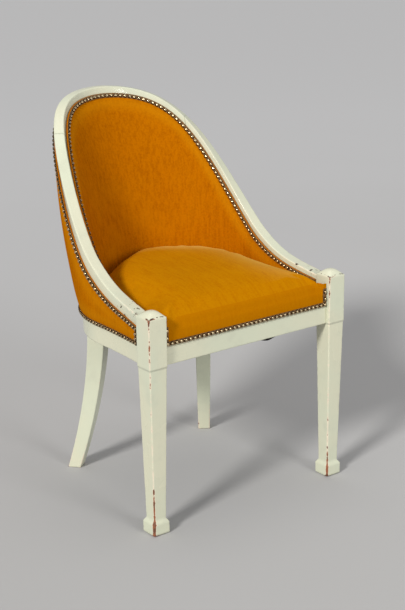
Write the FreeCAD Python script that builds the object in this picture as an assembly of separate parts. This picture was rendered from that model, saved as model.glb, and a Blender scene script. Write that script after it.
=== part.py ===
import FreeCAD, Part
import bisect
import math
import os

# Gondola chair: painted frame, swept back rail, tight upholstery held by close-set dome nails.
# Millimetres. +Z up, front towards -Y, origin on the floor under the middle of the chair.

# Overall sizes
overall_width = 494.6
overall_depth = 545.0
crest_height = 800.0

# Front legs
post_side = 42.0
post_proud = 7.0
dome_rise = 12.0
collar_step = 1.0
leg_ankle = 28.5
foot_side = 38.0
foot_height = 32.0
foot_shoulder = 7.0
foot_bevel = 3.0

# Rear legs
rear_leg_run = 0.69
rear_leg_turn = 37.0
rear_leg_splay = 64.0
rear_leg_curve = 1.8
rear_top_deep = 39.0
rear_top_wide = 38.0
rear_foot_deep = 28.0
rear_foot_wide = 27.0

# Seat frame
frame_bottom = 346.0
show_height = 36.0
tack_height = 18.0
seat_rail_thick = 28.0
front_rail_thick = 26.0
front_setback = 9.0
front_rebate = 2.5
band_rake = 0.06
back_joint_run = 0.78

# Back shell
shell_inset = 17.8
post_inset = 8.3
round_depth = 212.0
crest_tuck = 0.9
rake = 0.314
rake_from = 405.0
flare = -0.0002

# Swept rail of the back
arm_clear = 4.0
rail_sweep = 53.0
rise_gain = 13.5
rise_start = 4.25
rise_end = 1.1
rise_soft = 0.06
rail_face_post = 27.0
rail_face_crest = 19.0
rail_depth = 36.0
rail_edge = 2.0
shoulder_run = 0.595

# Back uprights
upright_run = 0.85
upright_wide = 34.0
upright_face = 3.0
upright_thick = 13.0
upright_clear = 0.9

# Upholstery
cover_thick = 1.5
burlap_thick = 1.2
soft_gap = 0.4
wadding_edge = 0.8
stuffing_edge = 1.4
inner_show_post = 9.2
inner_show_crest = 14.0
outer_show = 19.6
inside_pad = 18.0
outside_pad = 13.0
inside_end_clear = 3.7
outside_end_gap = 2.5
cloth_end_clear = 1.7
outside_hem = 2.0
seat_side_clear = 6.6
seat_side_runs = (0.03, 0.12, 0.22)
seat_back_clear = 0.4
seat_front_gap = 0.6
seat_wall = 20.0
seat_draw = 0.8
seat_round = 16.0
seat_round_end = 78.0
seat_crown = 20.0
seat_middle = 43.0
seat_tilt = 0.06
seat_top_tilt = 0.035

# Strips and nails
strip_thick = 0.8
strip_gap = 0.4
nail_head = 9.0
nail_rise = 3.2
nail_space = 1.6
nail_gap = 0.35
tack_head = 6.0
tack_rise = 1.2
tack_pitch = 62.0
tack_inset = 1.0
tack_start = 72.0
tack_end = 20.0

# Under the seat
web_wide = 50.0
web_thick = 2.0
web_gap = 0.3
web_lengthwise = (-62.0, 0.0, 62.0)
web_crosswise = (-195.0, -125.0, -55.0, 12.0)
cloth_thick = 0.8
cloth_margin = 15.0
cloth_front = 17.0
leg_cutout = 0.8
spring_radius = 27.0
spring_wire = 3.4
spring_turns = 4
spring_gap = 0.5
spring_places = ((-62.0, -125.0), (62.0, -125.0), (0.0, -90.0), (-62.0, -40.0), (62.0, -40.0))

# Joinery
dowel_dia = 8.0
dowel_long = 30.0
dowel_fit = 0.3
dowel_end = 1.0
block_leg = 62.0
block_clear = 0.5
block_bottom = 4.0
block_high = 30.0
rear_block_wide = 58.0
rear_block_deep = 22.0
screw_dia = 4.0
screw_long = 34.0
screw_head = 8.0
screw_head_high = 2.6
screw_fit = 0.35

# Derived places
V = FreeCAD.Vector
UP = V(0, 0, 1)
half = overall_width / 2
post_x = half - post_side / 2
post_in = half - post_side
post_front = -overall_depth / 2
post_y = post_front + post_side / 2
post_back = post_front + post_side
side_x = half - shell_inset
round_y = overall_depth / 2 - crest_tuck - rake * (crest_height - rake_from) - round_depth
show_top = frame_bottom + show_height
tack_top = show_top + tack_height
front_face = post_front + front_setback
front_back = front_face + front_rail_thick
burlap_low = tack_top + soft_gap
panel_low = burlap_low + burlap_thick + 2 * soft_gap
cover_front = front_face + soft_gap
hem_low = show_top + outside_hem
rail_foot = tack_top + arm_clear + rail_depth
post_top = rail_foot + post_proud
strip_wide = nail_head
nail_pitch = nail_head + nail_space


def plan_point(k):
    """Plan of the right outer face: k is 0 at the post, 1 where the round starts, 2 at the back."""
    if k <= 1:
        run_in = round_y - post_back
        narrow = shell_inset - post_inset
        x = side_x + narrow * (1 - k) ** 2
        y = post_back + k * run_in
        normal = V(1, 2 * narrow * (1 - k) / run_in, 0)
    else:
        turn = (k - 1) * math.pi / 2
        x = side_x * math.cos(turn)
        y = round_y + round_depth * math.sin(turn)
        normal = V(math.cos(turn) / side_x, math.sin(turn) / round_depth, 0)
    normal.normalize()
    return x, y, normal


def plan_marks(steps):
    """Lengths along the plan and the k value at each of them."""
    lengths = [0.0]
    values = [0.0]
    last = plan_point(0)
    for i in range(1, steps + 1):
        k = 2.0 * i / steps
        here = plan_point(k)
        lengths.append(lengths[-1] + math.hypot(here[0] - last[0], here[1] - last[1]))
        values.append(k)
        last = here
    return lengths, values


plan_lengths, plan_values = plan_marks(600)
plan_length = plan_lengths[-1]
round_run = plan_lengths[len(plan_lengths) // 2] / plan_length
post_slant = plan_point(0)[2].y


def plan_k(run):
    """The k value at a fraction of the way from the post to the back centre."""
    want = run * plan_length
    i = min(max(bisect.bisect(plan_lengths, want), 1), len(plan_lengths) - 1)
    part = (want - plan_lengths[i - 1]) / (plan_lengths[i] - plan_lengths[i - 1])
    return plan_values[i - 1] + part * (plan_values[i] - plan_values[i - 1])


def side_run(t):
    """Side of the chair and run on it: t is 0 at the right post, 1 at the back, 2 at the left post."""
    if t <= 1:
        return 1, t
    return -1, 2 - t


def outward(t):
    """Level direction straight out of the shell at t."""
    sign, run = side_run(t)
    normal = plan_point(plan_k(run))[2]
    return V(sign * normal.x, normal.y, 0)


def shell(t, z, off=0.0, low_rake=band_rake):
    """Point of the shell at t and height z, moved out by off: raked down to the show band, nearly upright in it."""
    sign, run = side_run(t)
    x, y, normal = plan_point(plan_k(run))
    fade = min(max((y - post_back) / (round_y - post_back), 0), 1)
    lift = (z - rake_from) * fade
    back = (rake * (max(z, show_top) - rake_from) + low_rake * min(z - show_top, 0)) * fade
    return V(sign * (x * (1 + flare * lift) + off * normal.x), y + back + off * normal.y, z)


def rise(run):
    """Share of the rail's climb reached at a run."""
    return rise_gain * max(run, 0.0) ** rise_start / ((1 - run) ** 2 + rise_soft ** 2) ** (rise_end / 2)


def rail_height(t):
    """Height of the swept rail's outer top edge."""
    run = side_run(t)[1]
    share = rise(run) / (1 + rise(run)) * (1 + rise(1.0)) / rise(1.0)
    return rail_foot + rail_sweep * (2 * run - run * run) + (crest_height - rail_foot - rail_sweep) * share


def stretch(t):
    """Upright length that a unit measured square to the swept rail takes up."""
    run = side_run(t)[1]
    step = 0.002
    slope = (rail_height(run + step) - rail_height(run - step)) / (2 * step * plan_length)
    return math.hypot(1, slope)


def between(first, last, t):
    """Value that goes from first at the posts to last at the crest."""
    return first + (last - first) * max(side_run(t)[1], 0)


def rail_face(t):
    """Width of the swept rail's top face."""
    return between(rail_face_post, rail_face_crest, t)


def inner_line(t):
    """Height of the inside cover's upper edge."""
    return rail_height(t) - stretch(t) * between(inner_show_post, inner_show_crest, t)


def outer_line(t):
    """Height of the outside cover's upper edge."""
    return rail_height(t) - stretch(t) * outer_show


def stations(first, last, count):
    """Evenly spaced values from first to last."""
    return [first + (last - first) * i / (count - 1) for i in range(count)]


def solid_of(shape):
    """The one solid in a shape, turned the right way out."""
    solid = shape.Solids[0]
    if solid.Volume < 0:
        solid.reverse()
    return solid


def loft(wires):
    """Smooth solid through closed wires."""
    return solid_of(Part.makeLoft(wires, True, False))


def ring(points):
    """Closed wire of straight edges."""
    return Part.makePolygon(points + [points[0]])


def swept(ts, section):
    """Solid round the shell: section(t) gives the corners as pairs of outward offset and height."""
    rows = [[shell(t, z, off) for off, z in section(t)] for t in ts]
    edges = []
    for column in zip(*rows):
        curve = Part.BSplineCurve()
        curve.interpolate(Points=list(column), Parameters=list(ts))
        edges.append(curve.toShape())
    faces = [Part.makeRuledSurface(a, b) for a, b in zip(edges, edges[1:] + edges[:1])]
    faces += [Part.Face(ring(rows[0])), Part.Face(ring(rows[-1]))]
    skin = Part.makeCompound(faces)
    skin.sewShape()
    return solid_of(Part.Solid(skin.Shells[0]))


def bowed(t, edge, bow, low, high):
    """Edge that runs up the shell at t, its ends at the offset edge and its middle moved on by bow."""
    middle = shell(t, (low + high) / 2, edge + bow)
    return Part.Arc(shell(t, low, edge), middle, shell(t, high, edge)).toShape()


def panel(ts, low, high, back, front):
    """Bowed sheet or pad round the shell: back(t) and front(t) give each face's edge offset and bow."""
    wires = []
    for t in ts:
        bottom, top = low, high(t)
        back_edge, back_bow = back(t)
        front_edge, front_bow = front(t)
        if back_bow:
            rear = bowed(t, back_edge, back_bow, bottom, top)
        else:
            rear = Part.makeLine(shell(t, bottom, back_edge), shell(t, top, back_edge))
        foot = Part.makeLine(shell(t, bottom, front_edge), shell(t, bottom, back_edge))
        face = bowed(t, front_edge, front_bow, top, bottom)
        head = Part.makeLine(shell(t, top, back_edge), shell(t, top, front_edge))
        wires.append(Part.Wire([foot, rear, head, face]))
    return solid_of(Part.makeLoft(wires, True, True))


def box(x0, x1, y0, y1, z0, z1):
    """Upright box between two corners."""
    return Part.makeBox(x1 - x0, y1 - y0, z1 - z0, V(x0, y0, z0))


def prism(points, z0, z1):
    """Upright prism on a plan of corner points."""
    face = Part.Face(ring([V(x, y, z0) for x, y in points]))
    return solid_of(face.extrude(V(0, 0, z1 - z0)))


def mirrored(shape):
    """The left twin of a right-hand piece."""
    return solid_of(shape.mirror(V(0, 0, 0), V(1, 0, 0)))


def pin(middle, way, dia, length):
    """Round pin of a length centred on a point."""
    axis = V(way)
    axis.normalize()
    return Part.makeCylinder(dia / 2, length, middle - axis * (length / 2), axis)


def dowel(middle, way):
    """A dowel centred on a joint, and the hole it needs."""
    peg = pin(middle, way, dowel_dia, dowel_long)
    hole = pin(middle, way, dowel_dia + 2 * dowel_fit, dowel_long + 2 * dowel_end)
    return peg, hole


def group(shapes):
    """Separate solids kept in one node."""
    return Part.makeCompound(shapes)


# Front legs
def front_leg():
    """Right front leg: domed post, collar, tapered shaft and foot block, in one solid."""
    h = post_side / 2
    block = box(post_x - h, post_x + h, post_y - h, post_y + h, frame_bottom, post_top + dome_rise)
    radius = (h * h + dome_rise * dome_rise) / (2 * dome_rise)
    centre = post_top + dome_rise - radius
    for way in (V(1, 0, 0), V(0, 1, 0)):
        vault = pin(V(post_x, post_y, centre), way, 2 * radius, 2 * post_side)
        under = box(post_x - post_side, post_x + post_side, post_y - post_side, post_y + post_side,
                    frame_bottom - 1, post_top)
        block = block.common(vault.fuse(under))

    def square(side, z):
        s = side / 2
        return ring([V(post_x - s, post_y - s, z), V(post_x + s, post_y - s, z),
                     V(post_x + s, post_y + s, z), V(post_x - s, post_y + s, z)])

    neck = post_side - 2 * collar_step
    shoulder_low = foot_height - foot_shoulder
    levels = ((foot_side - 2 * foot_bevel, 0.0), (foot_side, foot_bevel), (foot_side, shoulder_low),
              (leg_ankle, foot_height), (neck, frame_bottom))
    shaft = Part.makeLoft([square(side, z) for side, z in levels], True, True)
    return solid_of(block.fuse(shaft).removeSplitter())


leg_right = front_leg()

# Rear legs
leg_out = V(math.sin(math.radians(rear_leg_turn)), math.cos(math.radians(rear_leg_turn)), 0)
leg_side = V(leg_out.y, -leg_out.x, 0)
leg_top = shell(rear_leg_run, frame_bottom, 0) - leg_out * (rear_top_deep / 2)


def rear_section(z, grow=0.0):
    """Level section of the right rear leg."""
    down = 1 - z / frame_bottom
    middle = leg_top + leg_out * (rear_leg_splay * down ** rear_leg_curve)
    deep = (rear_top_deep + (rear_foot_deep - rear_top_deep) * down) / 2 + grow
    wide = (rear_top_wide + (rear_foot_wide - rear_top_wide) * down) / 2 + grow
    corners = ((deep, -wide), (deep, wide), (-deep, wide), (-deep, -wide))
    return ring([V(middle.x, middle.y, z) + leg_out * a + leg_side * b for a, b in corners])


rear_right = loft([rear_section(z) for z in stations(0, frame_bottom, 9)])

# Seat frame
rebate_face = front_face + front_rebate
front_profile = ((front_face, frame_bottom), (front_back, frame_bottom), (front_back, tack_top),
                 (rebate_face, tack_top), (rebate_face, show_top), (front_face, show_top))
front_wire = ring([V(-post_in, y, z) for y, z in front_profile])
front_rail = solid_of(Part.Face(front_wire).extrude(V(2 * post_in, 0, 0)))


def seat_rail(first, last, count):
    """Curved seat rail: a nearly upright show band, and above it the raked part that takes the nails."""
    ts = stations(first, last, count)
    inner = -seat_rail_thick
    parts = []
    for low, high in ((frame_bottom, show_top), (show_top, tack_top)):
        corners = ((0, low), (inner, low), (inner, high), (0, high))
        parts.append(swept(ts, lambda t: corners))
    return solid_of(parts[0].fuse(parts[1]))


in_front = box(-overall_width, overall_width, post_front - post_side, post_back, 0, crest_height)
side_right = solid_of(seat_rail(-0.03, back_joint_run, 41).cut(in_front))
back_rail = seat_rail(back_joint_run, 2 - back_joint_run, 23)


# Swept rail of the back
def swept_rail_section(t):
    """Section of the arm and crest rails, its edges eased."""
    top = rail_height(t)
    ease = rail_edge * stretch(t)
    foot = top - rail_depth * stretch(t)
    face = rail_face(t)
    outer = ((-rail_edge, top), (0, top - ease), (0, foot))
    return outer + ((-face, foot), (-face, top - ease), (rail_edge - face, top))


arm_right = solid_of(swept(stations(-0.04, shoulder_run, 33), swept_rail_section).cut(in_front))
crest_rail = swept(stations(shoulder_run, 2 - shoulder_run, 41), swept_rail_section)


# Back uprights
def upright_section(t):
    """Section of a back upright, from the seat rail to just under the crest rail."""
    top = rail_height(t) - rail_depth * stretch(t) - upright_clear
    rear, fore = -upright_face, -upright_face - upright_thick
    return ((rear, tack_top), (fore, tack_top), (fore, top), (rear, top))


upright_half = upright_wide / 2 / plan_length
upright_right = swept(stations(upright_run - upright_half, upright_run + upright_half, 3), upright_section)

# Corner blocks and their screws
frame_mid = (frame_bottom + tack_top) / 2
block_low = frame_bottom + block_bottom
block_top = block_low + block_high
block_run = (front_back + block_leg - post_back) / plan_length
block_x = post_in - block_clear
beside_rail = shell(block_run, block_top, -seat_rail_thick).x - block_clear
block_corners = ((block_x - block_leg, front_back), (block_x, front_back), (block_x, front_back + block_leg))
front_block = prism(block_corners, block_low, block_top)
front_block = front_block.cut(box(beside_rail, overall_width, post_back - block_clear, overall_depth,
                                  frame_bottom, tack_top))
rear_half = rear_block_wide / 2 / plan_length
rear_back = -seat_rail_thick - block_clear
ends = [shell(back_joint_run + side * rear_half, block_low, rear_back) for side in (-1, 1)]
deep = outward(back_joint_run) * rear_block_deep
rear_corners = (ends[0], ends[1], ends[1] - deep, ends[0] - deep)
rear_block = prism([(p.x, p.y) for p in rear_corners], block_low, block_top)


def screw(face_point, way):
    """A screw whose head lies on a face, and the hole it needs."""
    axis = V(way)
    axis.normalize()
    shank = Part.makeCylinder(screw_dia / 2, screw_long, face_point, axis)
    crown = face_point - axis * screw_head_high
    head = Part.makeCone(screw_head / 2 - 1, screw_head / 2, screw_head_high, crown, axis)
    hole = Part.makeCylinder(screw_dia / 2 + screw_fit, screw_long + 1, face_point, axis)
    return solid_of(shank.fuse(head)), hole


slant = V(block_x - block_leg / 2, front_back + block_leg / 2, frame_mid)
front_way = V(1, -1, 0)
front_way.normalize()
front_screw, front_hole = screw(slant - front_way * soft_gap, front_way)
rear_way = outward(back_joint_run)
rear_seat = (ends[0] + ends[1]) * 0.5 - deep
rear_screw, rear_hole = screw(V(rear_seat.x, rear_seat.y, frame_mid) - rear_way * soft_gap, rear_way)
front_block = front_block.cut(front_hole)
rear_block = rear_block.cut(rear_hole)

# Dowels
pegs = {"front_rail_dowels": [], "side_rail_dowels": [], "back_rail_dowels": [], "arm_rail_dowels": [],
        "shoulder_dowels": [], "rear_leg_dowels": [], "upright_dowels": []}


def tangent(t):
    """Level direction along the shell at t."""
    normal = outward(t)
    return V(-normal.y, normal.x, 0)


for dz in (-dowel_dia, dowel_dia):
    peg, hole = dowel(V(post_in, (front_face + front_back) / 2, frame_mid + dz), V(1, 0, 0))
    pegs["front_rail_dowels"] += [peg, mirrored(peg)]
    leg_right = leg_right.cut(hole)
    front_rail = front_rail.cut(hole).cut(mirrored(hole))
    peg, hole = dowel(V(shell(0, frame_mid, -seat_rail_thick / 2).x, post_back, frame_mid + dz), V(0, 1, 0))
    pegs["side_rail_dowels"] += [peg, mirrored(peg)]
    leg_right = leg_right.cut(hole)
    side_right = side_right.cut(hole)
    peg, hole = dowel(shell(back_joint_run, frame_mid + dz, -seat_rail_thick / 2), tangent(back_joint_run))
    pegs["back_rail_dowels"] += [peg, mirrored(peg)]
    side_right = side_right.cut(hole)
    back_rail = back_rail.cut(hole).cut(mirrored(hole))
    middle = leg_top + leg_side * dz
    peg, hole = dowel(V(middle.x, middle.y, frame_bottom), UP)
    pegs["rear_leg_dowels"] += [peg, mirrored(peg)]
    rear_right = rear_right.cut(hole)
    side_right = side_right.cut(hole)

arm_end = shell(0, rail_foot - rail_depth / 2, -rail_face(0) / 2)
peg, hole = dowel(V(arm_end.x, post_back, arm_end.z), V(0, 1, 0))
pegs["arm_rail_dowels"] += [peg, mirrored(peg)]
leg_right = leg_right.cut(hole)
arm_right = arm_right.cut(hole)


def rail_middle(t):
    """Middle of the swept rail's section."""
    return shell(t, rail_height(t) - stretch(t) * rail_depth / 2, -rail_face(t) / 2)


along = rail_middle(shoulder_run + 0.01) - rail_middle(shoulder_run - 0.01)
peg, hole = dowel(rail_middle(shoulder_run), along)
pegs["shoulder_dowels"] += [peg, mirrored(peg)]
arm_right = arm_right.cut(hole)
crest_rail = crest_rail.cut(hole).cut(mirrored(hole))

upright_mid = -upright_face - upright_thick / 2
upright_head = rail_height(upright_run) - rail_depth * stretch(upright_run)
lean = shell(upright_run, tack_top + 10, upright_mid) - shell(upright_run, tack_top, upright_mid)
for z in (tack_top, upright_head):
    peg, hole = dowel(shell(upright_run, z, upright_mid), lean)
    pegs["upright_dowels"] += [peg, mirrored(peg)]
    upright_right = upright_right.cut(hole)
    back_rail = back_rail.cut(hole).cut(mirrored(hole))
    crest_rail = crest_rail.cut(hole).cut(mirrored(hole))

side_right = side_right.cut(rear_hole)
leg_right = leg_right.cut(front_hole)
back_rail = back_rail.cut(rear_hole).cut(mirrored(rear_hole))
front_rail = front_rail.cut(front_hole).cut(mirrored(front_hole))

# Inside of the back, from the frame inwards
stuffing_back = soft_gap + burlap_thick + soft_gap
stuffing_front = stuffing_back + stuffing_edge
inside_back = stuffing_front + soft_gap
inside_front = inside_back + cover_thick
inside_end = (inside_end_clear + (rail_face_post + inside_front) * post_slant) / plan_length
inside_ts = stations(inside_end, 2 - inside_end, 97)
back_span = inner_line(1.0) - panel_low


def inside_bow(t):
    """How far the inside panel stands in at mid height, less where the panel is low."""
    return -inside_pad * (inner_line(t) - panel_low) / back_span


def burlap_section(t):
    """Section of the inside burlap."""
    edge = -rail_face(t) - soft_gap
    top = inner_line(t)
    return ((edge, panel_low), (edge - burlap_thick, panel_low), (edge - burlap_thick, top), (edge, top))


back_burlap = swept(inside_ts, burlap_section)
back_stuffing = panel(inside_ts, panel_low, inner_line, lambda t: (-rail_face(t) - stuffing_back, 0),
                      lambda t: (-rail_face(t) - stuffing_front, inside_bow(t)))
inside_cover = panel(inside_ts, panel_low, inner_line,
                     lambda t: (-rail_face(t) - inside_back, inside_bow(t)),
                     lambda t: (-rail_face(t) - inside_front, inside_bow(t)))

# Outside of the back, from the frame outwards
outside_end = outside_end_gap / plan_length
outside_ts = stations(outside_end, 2 - outside_end, 97)
outer_span = outer_line(1.0) - hem_low


def outside_bow(t):
    """How far the outside panel stands out at mid height, less where the panel is low."""
    return outside_pad * (outer_line(t) - hem_low) / outer_span


wadding_front = soft_gap + wadding_edge
outside_back = wadding_front + soft_gap
outside_front = outside_back + cover_thick
back_wadding = panel(outside_ts, hem_low, outer_line, lambda t: (soft_gap, 0),
                     lambda t: (wadding_front, outside_bow(t)))
outside_cover = panel(outside_ts, hem_low, outer_line, lambda t: (outside_back, outside_bow(t)),
                      lambda t: (outside_front, outside_bow(t)))


def bow_at(bow, z, low, high):
    """Offset that a bow adds at a height."""
    part = (z - low) / (high - low)
    return bow * 4 * part * (1 - part)


def inside_face(t, z):
    """Offset of the inside cover's front face."""
    return -rail_face(t) - inside_front + bow_at(inside_bow(t), z, panel_low, inner_line(t))


def outside_face(t, z):
    """Offset of the outside cover's outer face."""
    return outside_front + bow_at(outside_bow(t), z, hem_low, outer_line(t))


# Seat
def seat_room(t, clear):
    """How far the seat stays in from the shell at t: past the inside cover at rim height, and clear of it."""
    rim = panel_low + seat_wall + seat_round + seat_tilt * (shell(t, panel_low).y - cover_front)
    return clear - inside_face(t, min(rim, inner_line(t)))


seat_side = side_x - seat_room(round_run, seat_side_clear)
seat_back = round_depth - seat_room(1.0, seat_back_clear)
seat_x = post_in - seat_front_gap
seat_long = round_y - cover_front
seat_crown_in = min(seat_side, seat_back, seat_long) - seat_middle
seat_sides = []
for t in seat_side_runs:
    beside = shell(t, panel_low, -seat_room(t, seat_side_clear))
    seat_sides.append((min(beside.x, seat_x), (beside.y - cover_front) / seat_long))


def seat_outline(z, tilt, inset):
    """Plan of the seat at one level: straight front, sides along the inside cover, round back."""
    def at(x, y):
        return V(x, y, z + tilt * (y - cover_front))

    lean_back = rake * (z + tilt * (round_y + seat_back - cover_front) - panel_low)

    def curve(turn):
        angle = math.radians(turn)
        reach = seat_back - inset + lean_back
        return at((seat_side - inset) * math.cos(angle), round_y + reach * math.sin(angle))

    front = cover_front + inset
    side = [(seat_x - inset, front)]
    side += [(x - inset, front + part * (round_y - front)) for x, part in seat_sides]
    right = [at(x, y) for x, y in side] + [curve(0)]
    left = [curve(180)] + [at(-x, y) for x, y in reversed(side)]
    edges = [Part.makeLine(a, b) for a, b in zip(right, right[1:])]
    for turn in (0, 45, 90, 135):
        edges.append(Part.Arc(curve(turn), curve(turn + 22.5), curve(turn + 45)).toShape())
    edges += [Part.makeLine(a, b) for a, b in zip(left, left[1:] + right[:1])]
    return Part.Wire(edges)


def seat_levels():
    """Height, tilt and inset of the seat's outline: drawn-in wall, rounded edge, then the crown."""
    rows = [(0.0, 0.0, seat_draw), (seat_wall / 2, 0.0, 0.0), (seat_wall, 0.0, seat_draw)]
    for part in (0.25, 0.5, 0.75, 1.0):
        angle = math.radians(seat_round_end * part)
        inset = seat_draw + seat_round * (1 - math.cos(angle))
        rows.append((seat_wall + seat_round * math.sin(angle), seat_tilt * part, inset))
    up, tilt, inset = rows[-1]
    for part in (0.12, 0.28, 0.48, 0.72, 1.0):
        lift = seat_crown * (1 - (1 - part) ** 2)
        rows.append((up + lift, tilt + (seat_top_tilt - tilt) * part, inset + seat_crown_in * part))
    return rows


def seat_form(shrink, first_drop):
    """Crowned seat solid, smaller all round by shrink, its underside lowered by first_drop."""
    wires = []
    for i, (up, tilt, inset) in enumerate(seat_levels()):
        drop = first_drop if i == 0 else shrink
        wires.append(seat_outline(panel_low + up - drop, tilt, inset + shrink))
    return solid_of(Part.makeLoft(wires, True, True))


apron_top = panel_low + seat_wall / 2
apron = box(-seat_x, seat_x, cover_front, cover_front + cover_thick, hem_low, apron_top)
seat_cover = solid_of(seat_form(0.0, 0.0).fuse(apron).cut(seat_form(cover_thick, 5.0)))
seat_stuffing = seat_form(cover_thick + soft_gap, 0.0)


# Flat cloths of the seat
def frame_plan(inset, front_y, low_rake):
    """Corner points of a cloth that follows the seat frame, held in from its outer face."""
    first = (cloth_end_clear + inset * post_slant) / plan_length
    points = []
    for t in stations(first, 2 - first, 49):
        p = shell(t, frame_bottom, -inset, low_rake)
        points.append((p.x, p.y))
    corner = post_in - soft_gap
    near = [(corner, front_y), (corner, points[0][1])]
    return near + points + [(-x, y) for x, y in reversed(near)]


cloth_plan = frame_plan(cloth_margin, front_face + cloth_front, band_rake)
burlap_plan = frame_plan(cloth_margin, front_face + cloth_front, rake)
seat_burlap = prism(burlap_plan, burlap_low, burlap_low + burlap_thick)

web_top = frame_bottom
web_mid = web_top - web_thick
cross_top = web_mid - web_gap
cloth_top = cross_top - web_thick - web_gap
under_low, under_high = frame_bottom - show_height, frame_bottom + show_height
frame_inside = prism(cloth_plan, under_low, under_high)
keep_out = [loft([rear_section(z, leg_cutout) for z in stations(under_low, frame_bottom, 4)])]
keep_out.append(mirrored(keep_out[0]))
for sign in (-1, 1):
    reach = post_side / 2 + leg_cutout
    keep_out.append(box(sign * post_x - reach, sign * post_x + reach,
                        post_y - reach, post_y + reach, under_low, under_high))


def under_seat(shape):
    """A flat piece under the seat, cut back to the frame and clear of the legs."""
    shape = shape.common(frame_inside)
    for leg in keep_out:
        shape = shape.cut(leg)
    return shape


long_webs = []
for x in web_lengthwise:
    strap = box(x - web_wide / 2, x + web_wide / 2, post_front, overall_depth / 2, web_mid, web_top)
    long_webs += under_seat(strap).Solids
cross_webs = []
for y in web_crosswise:
    strap = box(-half, half, y - web_wide / 2, y + web_wide / 2, cross_top - web_thick, cross_top)
    cross_webs += under_seat(strap).Solids
cloth_sheet = box(-half, half, post_front, overall_depth / 2, cloth_top - cloth_thick, cloth_top)
under_cloth = solid_of(under_seat(cloth_sheet))


# Springs
def spring(x, y):
    """Coil spring on the webbing: quarter turns of round wire."""
    low = web_top + spring_wire / 2 + spring_gap
    high = burlap_low - spring_wire / 2 - spring_gap
    steps = spring_turns * 8

    def at(i):
        angle = i * math.pi / 4
        z = low + (high - low) * i / steps
        return V(x + spring_radius * math.cos(angle), y + spring_radius * math.sin(angle), z)

    arcs = [Part.Arc(at(i), at(i + 1), at(i + 2)).toShape() for i in range(0, steps, 2)]
    path = Part.Wire(arcs)
    start = arcs[0].tangentAt(arcs[0].FirstParameter)
    ring_wire = Part.Wire(Part.makeCircle(spring_wire / 2, at(0), start))
    return solid_of(path.makePipeShell([ring_wire], True, False))


springs = [spring(x, y) for x, y in spring_places]
coil_gap = (burlap_low - web_top - spring_wire - 2 * spring_gap) / spring_turns - spring_wire
print("gap between spring coils", round(coil_gap, 2))


# Strips under the nails
def strip_section(face, low, high, way):
    """Section function of a strip lying on a cover between two heights, on its outer or inner side."""
    def section(t):
        a, b = low(t), high(t)
        near, far = strip_gap, strip_gap + strip_thick
        corners = ((near, a), (far, a), (far, b), (near, b))
        return tuple((face(t, z) + way * step, z) for step, z in corners)
    return section


def level_strip(t):
    """Upright size of a strip measured square to the swept rail."""
    return strip_wide * stretch(t)


def post_strip_ends():
    """Where the short upright strip beside the right post starts and stops round the shell."""
    return outside_end, outside_end + strip_wide / plan_length


def strip_foot(line):
    """Height of the lower edge of a strip hung from a line."""
    return lambda t: line(t) - level_strip(t)


inside_strip = swept(inside_ts, strip_section(inside_face, strip_foot(inner_line), inner_line, -1))
outside_strip = swept(outside_ts, strip_section(outside_face, strip_foot(outer_line), outer_line, 1))
hem_section = strip_section(outside_face, lambda t: hem_low, lambda t: hem_low + strip_wide, 1)
hem_strip = swept(outside_ts, hem_section)
post_section = strip_section(outside_face, lambda t: hem_low + strip_wide + soft_gap,
                             lambda t: strip_foot(outer_line)(t) - soft_gap, 1)
beside_post = swept(stations(*post_strip_ends(), 3), post_section)
strip_front = cover_front - strip_gap - strip_thick
strip_back = cover_front - strip_gap
post_strip_top = panel_low + seat_wall
seat_strip = box(-seat_x, seat_x, strip_front, strip_back, hem_low, hem_low + strip_wide)
for sign in (-1, 1):
    inner = sign * (seat_x - strip_wide)
    post_strip = box(min(inner, sign * seat_x), max(inner, sign * seat_x), strip_front, strip_back,
                     hem_low, post_strip_top)
    seat_strip = seat_strip.fuse(post_strip)
seat_strip = solid_of(seat_strip.removeSplitter())


# Nails
def dome(width, height):
    """Round head on the level plane, its flat side down."""
    radius = (width * width / 4 + height * height) / (2 * height)
    ball = Part.makeSphere(radius, V(0, 0, height - radius))
    return solid_of(ball.common(box(-width, width, -width, width, 0, width)))


def placed(shape, point, way):
    """A copy of a head, set on a point and turned to face a direction."""
    copy = shape.copy()
    copy.Placement = FreeCAD.Placement(point, FreeCAD.Rotation(UP, way))
    return copy


nail = dome(nail_head, nail_rise)
tack = dome(tack_head, tack_rise)


def even(length, pitch):
    """Places along a length, evenly spaced near a pitch and half a space in from each end."""
    count = max(int(length / pitch), 1)
    return [length * (i + 0.5) / count for i in range(count)]


def nail_on(face, line, way, t):
    """One nail on a strip: face is the cover's offset, line the nail's height."""
    lift = way * (strip_gap + strip_thick + nail_gap)

    def at(s, z):
        return shell(s, z, face(s, z) + lift)

    z = line(t)
    along_t = at(t + 0.002, z) - at(t - 0.002, z)
    along_z = at(t, z + 0.5) - at(t, z - 0.5)
    normal = along_t.cross(along_z)
    if normal.dot(outward(t)) * way < 0:
        normal = normal * -1
    return placed(nail, at(t, z), normal)


def curve_row(face, line, way, end):
    """Nails evenly spaced along a line round the shell."""
    ts = stations(end, 2 - end, 401)
    points = [shell(t, line(t), face(t, line(t))) for t in ts]
    lengths = [0.0]
    for a, b in zip(points, points[1:]):
        lengths.append(lengths[-1] + a.distanceToPoint(b))
    row = []
    for want in even(lengths[-1], nail_pitch):
        i = bisect.bisect(lengths, want)
        part = (want - lengths[i - 1]) / (lengths[i] - lengths[i - 1])
        row.append(nail_on(face, line, way, ts[i - 1] + part * (ts[i] - ts[i - 1])))
    return row


def strip_middle(line):
    """Height of the middle of a strip hung from a line."""
    return lambda t: line(t) - level_strip(t) / 2


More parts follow.
